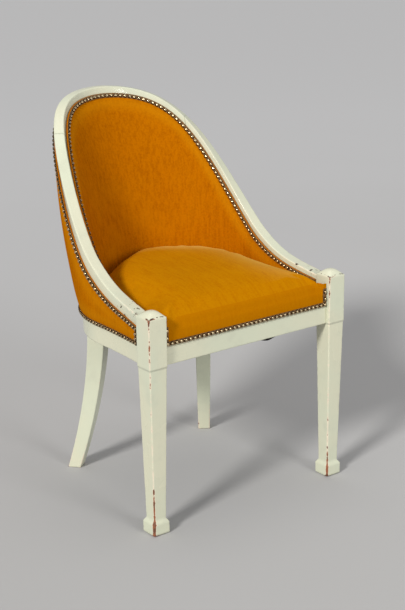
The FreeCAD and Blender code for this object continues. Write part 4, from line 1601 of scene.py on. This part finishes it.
class NailTree(NodeLayer):
    """Geometry Nodes tree that sets dome nails along a line."""

    tilt = 0.07
    spin = 3.0

    def __init__(self, head: Piece, finish: Material) -> None:
        """Builds the tree once for all rows.

        Args:
            head: One nail head at the origin, facing +Z.
            finish: The metal.
        """
        super().__init__(bpy.data.node_groups.new("nail_row", "GeometryNodeTree"))
        self.finish = finish
        face = self.tree.interface
        face.new_socket("Line", in_out="INPUT", socket_type="NodeSocketGeometry")
        self.count, self.scale, self.seed = (
            face.new_socket(name, in_out="INPUT", socket_type=f"NodeSocket{kind}").identifier
            for name, kind in (("Count", "Int"), ("Scale", "Float"), ("Seed", "Int")))
        face.new_socket("Nails", in_out="OUTPUT", socket_type="NodeSocketGeometry")
        start = self.tree.nodes.new("NodeGroupInput").outputs
        end = self.tree.nodes.new("NodeGroupOutput").inputs
        curve = self.lay("GeometryNodeMeshToCurve", {"Mesh": start["Line"]}, "Curve")
        even = self.lay("GeometryNodeResampleCurve", {"Curve": curve, "Count": start["Count"]}, "Curve")
        facing = self.lay("GeometryNodeInputNamedAttribute", {"Name": "facing"}, "Attribute",
                          data_type="FLOAT_VECTOR")
        turn = self.lay("FunctionNodeAlignRotationToVector", {"Vector": facing}, "Rotation", axis="Z")
        most = (self.tilt, self.tilt, self.spin)
        least = tuple(-m for m in most)
        spread = self.lay("FunctionNodeRandomValue", {"Min": least, "Max": most, "Seed": start["Seed"]},
                          "Value", data_type="FLOAT_VECTOR")
        lean = self.lay("FunctionNodeEulerToRotation", {0: spread})
        both = self.lay("FunctionNodeRotateRotation", {"Rotation": turn, "Rotate By": lean}, "Rotation",
                        rotation_space="LOCAL")
        source = self.lay("GeometryNodeObjectInfo", {"Object": head}, "Geometry", transform_space="ORIGINAL")
        inputs = {"Points": even, "Instance": source, "Rotation": both, "Scale": start["Scale"]}
        nails = self.lay("GeometryNodeInstanceOnPoints", inputs, "Instances")
        real = self.lay("GeometryNodeRealizeInstances", {"Geometry": nails}, "Geometry")
        dressed = self.lay("GeometryNodeSetMaterial", {"Geometry": real, "Material": finish}, "Geometry")
        self.feed(end["Nails"], dressed)

    def row(self, name: str, lines: Sequence[NailLine], scale: float, seed: int) -> Piece:
        """Sets nails along one or more lines and joins them as one plain mesh.

        Args:
            name: Name of the piece.
            lines: For each line its points, the way its nails face, and how many there are.
            scale: Size of a head against the pattern head.
            seed: Seed of the small tilts.

        Returns:
            The new object.
        """
        bm = bmesh.new()
        for points, facing, count in lines:
            mesh = bpy.data.meshes.new("guide")
            mesh.from_pydata(points.tolist(), [(i, i + 1) for i in range(len(points) - 1)], [])
            way = mesh.attributes.new("facing", "FLOAT_VECTOR", "POINT")
            way.data.foreach_set("vector", np.asarray(facing, np.float32).ravel())
            guide = make_object(mesh)
            nodes = guide.modifiers.new("nails", "NODES")
            nodes.node_group = self.tree
            nodes[self.count], nodes[self.scale], nodes[self.seed] = count, scale, seed
            made = evaluated(guide)
            guide.modifiers.remove(nodes)
            bm.from_mesh(made)
            bpy.data.objects.remove(guide)
            bpy.data.meshes.remove(made)
        joined = bpy.data.meshes.new(name)
        bm.to_mesh(joined)
        bm.free()
        shade_smooth(joined)
        joined.polygons.foreach_set("material_index", np.zeros(len(joined.polygons), np.int32))
        return make_object(joined, self.finish)


@dataclass
class Trim:
    """Braid strips, the close-set dome nails on them, and the tacks under the seat."""

    braid: Material
    bronze: Material
    thick: float = 0.0008
    gap: float = 0.0004
    nail: float = 0.009
    rise: float = 0.0032
    nail_gap: float = 0.0002
    nail_room: float = 0.00035
    pitch: float = 0.0106
    head_sides: int = 10
    head_rings: tuple[float, ...] = (1.0, 0.86, 0.62, 0.32)
    inside_count: int = 131
    outside_count: int = 139
    hem_count: int = 96
    strip_rings: int = 420
    hem_rings: int = 320
    front_rings: int = 120
    post_rings: int = 10
    post_strip_top: float = 0.4224
    post_facing: Colour = (0.993, 0.118, 0.0)
    tack: float = 0.006
    tack_pitch: float = 0.062
    tack_low: float = 0.3402
    tack_inset: float = 0.019
    tack_front: float = -0.2425
    tack_start: float = 0.072
    tack_end: float = 0.020
    leg_clear: float = 0.026
    tack_seed: int = 40

    def head(self) -> Piece:
        """One nail head: a low dome with a flat back, a few dozen faces.

        Returns:
            The pattern head.
        """
        radius = (self.nail ** 2 / 4 + self.rise ** 2) / (2 * self.rise)
        turns, rings = self.head_sides, len(self.head_rings)
        points, crown = [], []
        for share in self.head_rings:
            r = self.nail / 2 * share
            z = math.sqrt(radius ** 2 - r ** 2) - radius + self.rise
            points += [(r * math.cos(a), r * math.sin(a), z) for a in np.arange(turns) * 2 * math.pi / turns]
            crown += [1 - share] * turns
        last = (rings - 1) * turns
        faces = grid_faces(rings, turns, True) + [tuple(reversed(range(turns)))]
        faces += [(last + i, last + (i + 1) % turns, last + turns) for i in range(turns)]
        mesh = new_mesh("nail_head", points + [(0.0, 0.0, self.rise)], faces)
        put_values(mesh, "crown", np.array(crown + [1.0]))
        return make_object(mesh)

    def ribbon(self, name: str, grids: Sequence[Array], node: str) -> Piece:
        """A thin closed braid strip, from one or more grids of section rings.

        Args:
            name: Name of the piece.
            grids: Rings along each strip, each ring a closed section.
            node: The CAD node that it stands for.

        Returns:
            The new object.
        """
        points, faces, uv, base = [], [], [], 0
        for rings in grids:
            rows, columns = rings.shape[:2]
            points.append(rings.reshape(-1, 3))
            faces += [tuple(base + i for i in f) for f in tube_faces(rows, columns)]
            across = np.tile(np.linspace(0, 2 * SHELL.strip, columns), rows)
            uv.append(np.stack([np.repeat(run_lengths(rings.mean(1)), columns), across], -1))
            base += rows * columns
        mesh = new_mesh(name, np.concatenate(points), faces)
        put_uv(mesh, np.concatenate(uv))
        face_out(mesh, smooth=False)
        return settle(make_object(mesh, self.braid), Slot.STRIP, node)

    def section(self) -> Array:
        """Section of a strip: share across it, and how far it stands up, crowned in the middle."""
        top = [(s, self.gap + self.thick * (0.55 + 0.45 * math.sin(math.pi * s)))
               for s in np.linspace(0.02, 0.98, 7)]
        return np.array([(0.0, self.gap)] + top + [(1.0, self.gap)])

    def stand(self) -> float:
        """How far a nail's back stands off the cover."""
        return self.gap + self.thick + self.nail_gap

    def under(self, line: Line, part: float) -> Line:
        """A line set below another by a part of the strip's width."""
        return lambda t: line(t) - SHELL.strip * part * SHELL.stretch(t)

    def level(self, z: float) -> Line:
        """A level line."""
        return lambda t: z + 0 * np.asarray(t)

    def curved(self, ends: Span, low: Line, high: Line, face: Face, way: int, count: int) -> Array:
        """Rings of a strip that lies on a cover between two lines.

        Args:
            ends: Where it starts and ends round the back.
            low: Height of its lower edge.
            high: Height of its upper edge.
            face: How far out the cover stands.
            way: 1 outside, -1 inside.
            count: Rings along it.

        Returns:
            The rings.
        """
        shares = self.section()
        rings = []
        for t in np.linspace(*ends, count):
            z = low(t) + (high(t) - low(t)) * shares[:, 0]
            rings.append(SHELL.point(t, z, face(t, z) + way * shares[:, 1]))
        return np.array(rings)

    def row(self, ends: Span, line: Line, face: Face, way: int, count: int) -> NailLine:
        """Line of nails round the shell, half a space in from each end.

        Args:
            ends: Where its strip starts and ends round the back.
            line: Height of the nails.
            face: How far out the cover stands.
            way: 1 outside, -1 inside.
            count: Nails in the row.

        Returns:
            Points of the line, which way its nails face, and the count.
        """
        aside, up = 0.002, 0.0005

        def at(t: Array) -> Array:
            """Points of the line, lifted off the strip."""
            return SHELL.point(t, line(t), face(t, line(t)) + way * self.stand())

        ts = np.linspace(*ends, 1601)
        lengths = run_lengths(at(ts))
        half = lengths[-1] / count / 2
        ts = np.interp(np.linspace(half, lengths[-1] - half, count * 4 - 3), lengths, ts)
        level = line(ts)

        def near(t: Array, dz: float) -> Array:
            """Points beside the line at its own heights."""
            return SHELL.point(t, level + dz, face(t, level + dz))

        facing = np.cross(near(ts + aside, 0.0) - near(ts - aside, 0.0), near(ts, up) - near(ts, -up))
        outward = SHELL.point(ts, level, 0.01) - SHELL.point(ts, level, 0.0)
        facing *= np.where((facing * outward).sum(1) * way < 0, -1.0, 1.0)[:, None]
        return at(ts), facing / np.linalg.norm(facing, axis=1, keepdims=True), count

    def straight(self, start: Colour, stop: Colour, count: int) -> NailLine:
        """Line of nails on the seat's front, half a space in from each end.

        Args:
            start: Where it starts.
            stop: Where it ends.
            count: Nails in the row.

        Returns:
            Points of the line, which way its nails face, and the count.
        """
        a, b = np.array(start), np.array(stop)
        half = (b - a) / count / 2
        points = np.linspace(a + half, b - half, max(count, 2))
        return points, np.tile([0.0, -1.0, 0.0], (len(points), 1)), count

    def build(self) -> list[Piece]:
        """Builds and dresses strips, nails and tacks.

        Returns:
            The pieces.
        """
        head = self.head()
        tree = NailTree(head, self.bronze)
        pieces = self.strips() + self.nails(tree) + [self.tacks(tree)]
        bpy.data.objects.remove(head)
        return pieces

    def strips(self) -> list[Piece]:
        """The five braid strips.

        Returns:
            The pieces.
        """
        s, wide, hem = SHELL, SHELL.strip, SHELL.hem_low
        inside, outside = s.inside_span, s.outside_span
        beside = (s.outside_end, s.outside_end + wide / s.length)
        post = self.curved(beside, self.level(hem + wide + self.gap),
                           lambda t: s.outer_line(t) - wide * s.stretch(t) - self.gap, s.outside_face, 1, 4)
        across, stand = self.section().T
        y = s.cover_front - stand
        front = np.array([np.column_stack([np.full(len(y), x), y, hem + wide * across])
                          for x in np.linspace(-s.half_front, s.half_front, self.front_rings)])
        posts = [np.array([np.column_stack([side.value * (s.half_front - wide + wide * across), y,
                                            np.full(len(y), z)])
                           for z in np.linspace(hem + wide, self.post_strip_top, self.post_rings)])
                 for side in (Side.LEFT, Side.RIGHT)]
        grids = {
            "inside_back_strip": [self.curved(inside, self.under(s.inner_line, 1.0), s.inner_line,
                                              s.inside_face, -1, self.strip_rings)],
            "outside_back_strip": [self.curved(outside, self.under(s.outer_line, 1.0), s.outer_line,
                                               s.outside_face, 1, self.strip_rings)],
            "outside_hem_strip": [self.curved(outside, self.level(hem), self.level(hem + wide),
                                              s.outside_face, 1, self.hem_rings)],
            "outside_post_strips": [post, flipped(post)],
            "seat_front_strip": [front, *posts]}
        return [self.ribbon(f"{node.rsplit('_', 1)[0]}_braid", rings, node) for node, rings in grids.items()]

    def nails(self, tree: NailTree) -> list[Piece]:
        """The five groups of dome nails.

        Args:
            tree: The tree that sets nails along lines.

        Returns:
            The pieces.
        """
        s, wide, hem = SHELL, SHELL.strip, SHELL.hem_low
        inside, outside = s.inside_span, s.outside_span
        outer, hem_row = self.under(s.outer_line, 0.5), hem + wide / 2
        post_t = s.outside_end + wide / s.length / 2
        climb = float(outer(post_t)) - hem_row
        spaces = int(climb / (self.nail + self.nail_room))
        post_z = [hem_row + climb * i / spaces for i in range(1, spaces)]
        post = np.array([s.point(post_t, z, s.outside_face(post_t, z) + self.stand()) for z in post_z])
        facing = np.tile(self.post_facing, (len(post), 1))
        y, x, column = s.cover_front - self.stand(), s.half_front, s.half_front - wide / 2
        up = int((self.post_strip_top - hem - wide) / self.pitch)
        rows = {
            "inside_back_nails": [self.row(inside, self.under(s.inner_line, 0.5), s.inside_face, -1,
                                           self.inside_count)],
            "outside_back_nails": [self.row(outside, outer, s.outside_face, 1, self.outside_count)],
            "outside_hem_nails": [self.row(outside, self.level(hem_row), s.outside_face, 1, self.hem_count)],
            "outside_post_nails": [(post, facing, len(post)), (flipped(post), flipped(facing), len(post))],
            "seat_front_nails": [self.straight((-x, y, hem_row), (x, y, hem_row), int(2 * x / self.pitch))]
            + [self.straight((sign * column, y, hem + wide), (sign * column, y, self.post_strip_top), up)
               for sign in (-1, 1)]}
        return [settle(tree.row(f"bronze_{node}", lines, 1.0, seed), Slot.BRONZE, node)
                for seed, (node, lines) in enumerate(rows.items())]

    def tacks(self, tree: NailTree) -> Piece:
        """Small tacks that hold the cloth under the seat, clear of the rear legs.

        Args:
            tree: The tree that sets nails along lines.

        Returns:
            The new piece.
        """
        way = 2 * (SHELL.length - self.tack_start)
        count = int(way / self.tack_pitch)
        ts = (self.tack_start + way * (np.arange(count) + 0.5) / count) / SHELL.length
        spots = SHELL.point(ts, SHELL.frame_bottom, -self.tack_inset)[:, :2]
        head = LEG_PLAN.lie()[2]
        spots = [p for p in spots if math.hypot(abs(p[0]) - head[0], p[1] - head[1]) > self.leg_clear]
        wide = 2 * (SHELL.post_in - self.tack_end)
        across = int(wide / self.tack_pitch)
        spots += [(wide * ((i + 0.5) / across - 0.5), self.tack_front) for i in range(across)]
        down = np.tile([0.0, 0.0, -1.0], (2, 1))
        lines = [(np.array([(x, y, self.tack_low), (x + 1e-5, y, self.tack_low)]), down, 1) for x, y in spots]
        made = tree.row("blued_cloth_tacks", lines, self.tack / self.nail, self.tack_seed)
        return settle(made, Slot.BRONZE, "under_cloth_tacks")


@dataclass
class UnderSeat:
    """Cloth under the seat, webbing and burlap: flat goods stretched over the frame."""

    cambric: Material
    jute: Material
    front: float = -0.2465
    margin: float = 0.015
    cut: float = 0.0008
    cloth_low: float = 0.3407
    cloth_thick: float = 0.0006
    burlap_low: float = 0.4005
    burlap_thick: float = 0.0010
    burlap_margin: float = 0.008
    burlap_front: float = -0.255
    back_gap: float = 0.0005
    back_flat: Span = (1.35, 0.40)
    web_wide: float = 0.050
    web_thick: float = 0.0018
    web_short: float = 0.005
    long_webs: tuple[float, ...] = (-0.062, 0.0, 0.062)
    long_low: float = 0.3441
    cross_webs: tuple[float, ...] = (-0.195, -0.125, -0.055, 0.012)
    cross_low: float = 0.3418
    middle: Span = (0.0, -0.06)
    rings: tuple[float, ...] = (0.05, 0.2, 0.35, 0.5, 0.64, 0.76, 0.86, 0.93, 0.97, 0.99, 1.0)
    bulge: float = 0.0035
    bulge_half: Span = (0.2, 0.18)
    lip_deep: float = 0.03
    lip: float = 0.0056
    lip_x: float = 0.063
    lip_wide: float = 0.017

    def loop(self, z: float, margin: float, front: float) -> Array:
        """Plan outline inside the seat frame, from the right front corner round the back."""
        ring = SHELL.point(np.linspace(0.001, 1.999, 400), z, -margin)[:, :2]
        return np.concatenate([[(ring[0, 0], front)], ring, [(ring[-1, 0], front)]])

    def cut_outs(self) -> list[Array]:
        """Plan corners of posts and rear legs, with the cloth's clearance.

        Returns:
            Four corners for each post and then for each leg.
        """
        square = np.array([(-1, -1), (1, -1), (1, 1), (-1, 1)])
        half = SHELL.post_side / 2
        post = square * (half + self.cut) + (SHELL.half_width - half, SHELL.post_back - half)
        way, across, head = LEG_PLAN.lie()
        deep, wide = (size / 2 + self.cut for size in LEG_PLAN.top_size)
        leg = (head + square[:, :1] * deep * way + square[:, 1:] * wide * across)[:, :2]
        return [shape * (side.value, 1) for shape in (post, leg) for side in Side]

    def reach(self, angles: Array, outlines: Sequence[Array]) -> Array:
        """Distance from the middle to the nearest of some outlines.

        Args:
            angles: Directions from the middle.
            outlines: Corners of each outline.

        Returns:
            The distance along each angle.
        """
        way = np.stack([np.cos(angles), np.sin(angles)], -1)[:, None, :]
        best = np.full(len(angles), np.inf)
        for shape in outlines:
            start = (shape - self.middle)[None]
            edge = np.roll(shape, -1, 0)[None] - shape[None]
            down = way[..., 0] * edge[..., 1] - way[..., 1] * edge[..., 0]
            down = np.where(np.abs(down) < 1e-12, 1e-12, down)
            far = (start[..., 0] * edge[..., 1] - start[..., 1] * edge[..., 0]) / down
            part = (start[..., 0] * way[..., 1] - start[..., 1] * way[..., 0]) / down
            good = (far > 0) & (part >= 0) & (part <= 1)
            best = np.minimum(best, np.where(good, far, np.inf).min(1))
        return best

    def sheet(self, name: str, z: float, thick: float, outlines: Sequence[Array], sag: Face | None,
              finish: Material) -> Piece:
        """A flat cloth cut to the nearest of some outlines.

        Args:
            name: Name of the piece.
            z: Height of the cloth.
            thick: Its thickness.
            outlines: Outlines that it stays within or off.
            sag: How far it hangs at x and y.
            finish: The weave.

        Returns:
            The new object.
        """
        corners = np.concatenate(outlines[1:] + [outlines[0][[0, -1]]]) - self.middle
        turns = np.arctan2(corners[:, 1], corners[:, 0])
        even = np.linspace(-math.pi, math.pi, 361)[:-1]
        angles = np.sort(np.concatenate([even, turns - 1e-4, turns + 1e-4]))
        rim = self.reach(angles, outlines)
        low = np.array([np.column_stack([self.middle[0] + share * rim * np.cos(angles),
                                         self.middle[1] + share * rim * np.sin(angles), np.full(len(rim), z)])
                        for share in self.rings])
        if sag is not None:
            low[..., 2] += sag(low[..., 0], low[..., 1])
        rings = np.concatenate([low, low[::-1] + (0.0, 0.0, thick)])
        mesh = new_mesh(name, rings.reshape(-1, 3), tube_faces(*rings.shape[:2]))
        face_out(mesh)
        mesh.set_sharp_from_angle(angle=0.8)
        piece = make_object(mesh, finish)
        return piece

    def sag(self, x: Array, y: Array) -> Array:
        """How far the cloth hangs: a little in the middle, and a loose lip at its front edge.

        Args:
            x: Places across the chair.
            y: Places along the chair.

        Returns:
            The change of height.
        """
        across, along = self.bulge_half
        inside = np.clip(1 - (x / across) ** 2, 0, 1) * np.clip(1 - ((y - self.middle[1]) / along) ** 2, 0, 1)
        loose = np.exp(-((x - self.lip_x) / self.lip_wide) ** 2)
        loose *= np.clip(1 - (y - self.front) / self.lip_deep, 0, 1)
        return -self.bulge * inside - self.lip * loose

    def build(self) -> list[Piece]:
        """Builds and dresses cloth, burlap and webbing.

        Returns:
            The pieces.
        """
        cuts = self.cut_outs()
        under = [self.loop(SHELL.frame_bottom, self.margin, self.front), *cuts]
        dust = self.sheet("dust_cloth", self.cloth_low, self.cloth_thick, under, self.sag, self.cambric)
        over = [self.loop(SHELL.tack_top, self.burlap_margin, self.burlap_front), *cuts[:2]]
        seat = self.sheet("seat_burlap_sheet", self.burlap_low, self.burlap_thick, over, None, self.jute)
        webs = [self.webs("webbing_lengthwise", self.long_low, True, self.long_webs),
                self.webs("webbing_crosswise", self.cross_low, False, self.cross_webs)]
        return [settle(dust, Slot.CLOTH, "under_cloth"), settle(seat, Slot.BURLAP, "seat_burlap"),
                self.back_burlap(), *webs]

    def back_burlap(self) -> Piece:
        """Burlap that closes the inside of the back behind its stuffing.

        Returns:
            The new piece.
        """
        ts = np.linspace(*SHELL.inside_span, 120)[:, None]
        z = SHELL.panel_low + (SHELL.inner_line(ts) - SHELL.panel_low) * np.linspace(0, 1, 30)[None, :]
        front, rear = (SHELL.point(ts, z, -SHELL.rail_face(ts) - off)
                       for off in (self.back_gap, self.back_gap + self.burlap_thick))
        mesh = slabs("back_burlap_sheet", [(front, rear)])
        piece = make_object(mesh, self.jute)
        return settle(piece, Slot.BURLAP, "back_burlap")

    def webs(self, node: str, z: float, lengthwise: bool, middles: Sequence[float]) -> Piece:
        """Jute straps of one direction, as one piece, each end cut along the frame.

        Args:
            node: The CAD node that they stand for.
            z: Height of their underside.
            lengthwise: Whether they run from front to back.
            middles: Where the middle of each strap is.

        Returns:
            The new piece.
        """
        near = self.front + self.web_short
        right = self.loop(SHELL.frame_bottom, self.margin + self.web_short, near)[1:201]
        share = np.linspace(0, 1, 80)[None, :]
        pairs = []
        for middle in middles:
            across = middle + np.linspace(-0.5, 0.5, 9) * self.web_wide
            if lengthwise:
                far = np.interp(np.abs(across), right[::-1, 0], right[::-1, 1])[:, None]
                x, y = np.broadcast_arrays(across[:, None], near + (far - near) * share)
            else:
                far = np.interp(across, right[:, 1], right[:, 0])[:, None]
                x, y = np.broadcast_arrays(far * (2 * share - 1), across[:, None])
            low = np.stack([x, y, np.full(x.shape, z)], -1)
            pairs.append((low, low + (0.0, 0.0, self.web_thick)))
        return settle(make_object(slabs(f"jute_{node}", pairs), self.jute), Slot.WEBBING, node)


@dataclass
class HiddenFrame:
    """CAD nodes inside the chair that keep their shape and get their finish."""

    beech: Material
    steel: Material
    metal: tuple[str, ...] = ("seat_springs", "block_screws")

    def dress(self) -> None:
        """Gives every node that still shows its own material."""
        for name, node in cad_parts.items():
            if node.hide_render:
                continue
            node.data.materials.clear()
            node.data.materials.append(self.steel if name in self.metal else self.beech)
            LOG.info("%s: CAD shape kept", name)


@dataclass
class Studio:
    """Camera at the photograph's view, pale floor and soft lamps."""

    focal_px: float = 1373.26
    frame_px: tuple[int, int] = (405, 610)
    azimuth: float = -36.939
    elevation: float = 17.285
    roll: float = -0.790
    distance: float = 2.91317
    target: Colour = (0.047475, -0.048211, 0.365663)
    # floor colours: the lighter far colour is painted light for the lamps' falloff
    near: Colour = (0.455, 0.450, 0.443)
    far: Colour = (0.600, 0.600, 0.605)
    sky: Colour = (0.395, 0.395, 0.400)
    floor_radius: float = 24.0
    sun_power: float = 2.35
    sun_angle: float = 11.0
    sun_colour: Colour = (1.0, 0.985, 0.96)
    sun_way: Colour = (0.793, 0.274, -0.545)
    lit_point: Colour = (0.0, 0.0, 0.4)

    def camera(self) -> None:
        """Makes the camera and looks through it."""
        a, e, r = (math.radians(v) for v in (self.azimuth, self.elevation, self.roll))
        back = Vector((math.sin(a) * math.cos(e), -math.cos(a) * math.cos(e), math.sin(e)))
        right = (-back).cross(Vector((0, 0, 1))).normalized()
        up = right.cross(-back)
        right, up = right * math.cos(r) + up * math.sin(r), up * math.cos(r) - right * math.sin(r)
        data = bpy.data.cameras.new("camera")
        data.sensor_width = 36.0
        data.lens = self.focal_px * data.sensor_width / max(self.frame_px)
        data.clip_start, data.clip_end = 0.05, 100.0
        camera = bpy.data.objects.new("camera", data)
        turn = Matrix((right, up, back)).transposed().to_4x4()
        camera.matrix_world = Matrix.Translation(Vector(self.target) + back * self.distance) @ turn
        bpy.context.scene.collection.objects.link(camera)
        bpy.context.scene.camera = camera

    def hang(self, data: bpy.types.Light, way: Vector) -> Piece:
        """Puts a lamp in the scene.

        Args:
            data: The lamp.
            way: Which way it shines.

        Returns:
            The lamp's object.
        """
        lamp = bpy.data.objects.new(data.name, data)
        lamp.rotation_euler = way.to_track_quat("-Z", "Y").to_euler()
        bpy.context.scene.collection.objects.link(lamp)
        return lamp

    def lamp(self, name: str, place: Colour, size: float, power: float) -> None:
        """One soft area lamp that looks at the chair.

        Args:
            name: Name of the lamp.
            place: Where it hangs.
            size: Its diameter.
            power: Its power in watts.
        """
        data = bpy.data.lights.new(name, "AREA")
        data.shape, data.size, data.energy = "DISK", size, power
        self.hang(data, Vector(self.lit_point) - Vector(place)).location = place

    def floor(self) -> None:
        """A wide pale floor whose colour lightens towards the back: painted light in place of the lamps'
        falloff.
        """
        bm = bmesh.new()
        bmesh.ops.create_circle(bm, cap_ends=True, segments=96, radius=self.floor_radius)
        mesh = bpy.data.meshes.new("floor")
        bm.to_mesh(mesh)
        bm.free()
        g = Graph("studio_floor")
        across, along, _ = g.lay("ShaderNodeSeparateXYZ", {0: g.place}).node.outputs
        # painted light: the colour lightens towards the back in place of the lamps' falloff, with noise on it
        depth = g.add(g.part(across, 0.4), g.part(along, 0.9))
        shade = g.mix(g.step(g.add(depth, g.noise(0.8, 2.0)), -1.0, 5.0), self.near, self.far)
        g.set(Base_Color=shade, Roughness=0.85, Specular_IOR_Level=0.15,
              Normal=g.bump(g.noise(60.0), 0.001, 0.1))
        make_object(mesh, g.material)

    def build(self) -> None:
        """Sets up floor, lamps, world and camera."""
        scene = bpy.context.scene
        scene.view_settings.view_transform = "Standard"
        self.floor()
        scene.world = bpy.data.worlds.new("studio")
        scene.world.use_nodes = True
        sky = scene.world.node_tree.nodes["Background"].inputs
        sky["Color"].default_value, sky["Strength"].default_value = (*self.sky, 1.0), 1.0
        sun = bpy.data.lights.new("key", "SUN")
        sun.energy, sun.angle, sun.color = self.sun_power, math.radians(self.sun_angle), self.sun_colour
        self.hang(sun, Vector(self.sun_way))
        self.lamp("front", place=(0.2, -4.0, 1.8), size=1.4, power=52.0)
        self.lamp("top", place=(0.3, 0.4, 3.8), size=2.4, power=14.0)
        self.camera()


def main() -> None:
    """Builds the chair piece by piece."""
    logging.basicConfig(level=logging.INFO, format="%(name)s %(message)s")
    wardrobe = Wardrobe()
    assemblies = [
        FrontLegs(wardrobe.paint), RearLegs(wardrobe.paint), SeatFrame(wardrobe.paint),
        SweptRails(wardrobe.paint), BackCovers(wardrobe.back_velvet), SeatCover(wardrobe.seat_velvet),
        Trim(wardrobe.braid, wardrobe.bronze), UnderSeat(wardrobe.cambric, wardrobe.jute)]
    for assembly in assemblies:
        LOG.info("%s: %d pieces", type(assembly).__name__, len(assembly.build()))
    HiddenFrame(wardrobe.beech, wardrobe.steel).dress()
    Studio().build()
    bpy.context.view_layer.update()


if __name__ == "__main__":
    main()
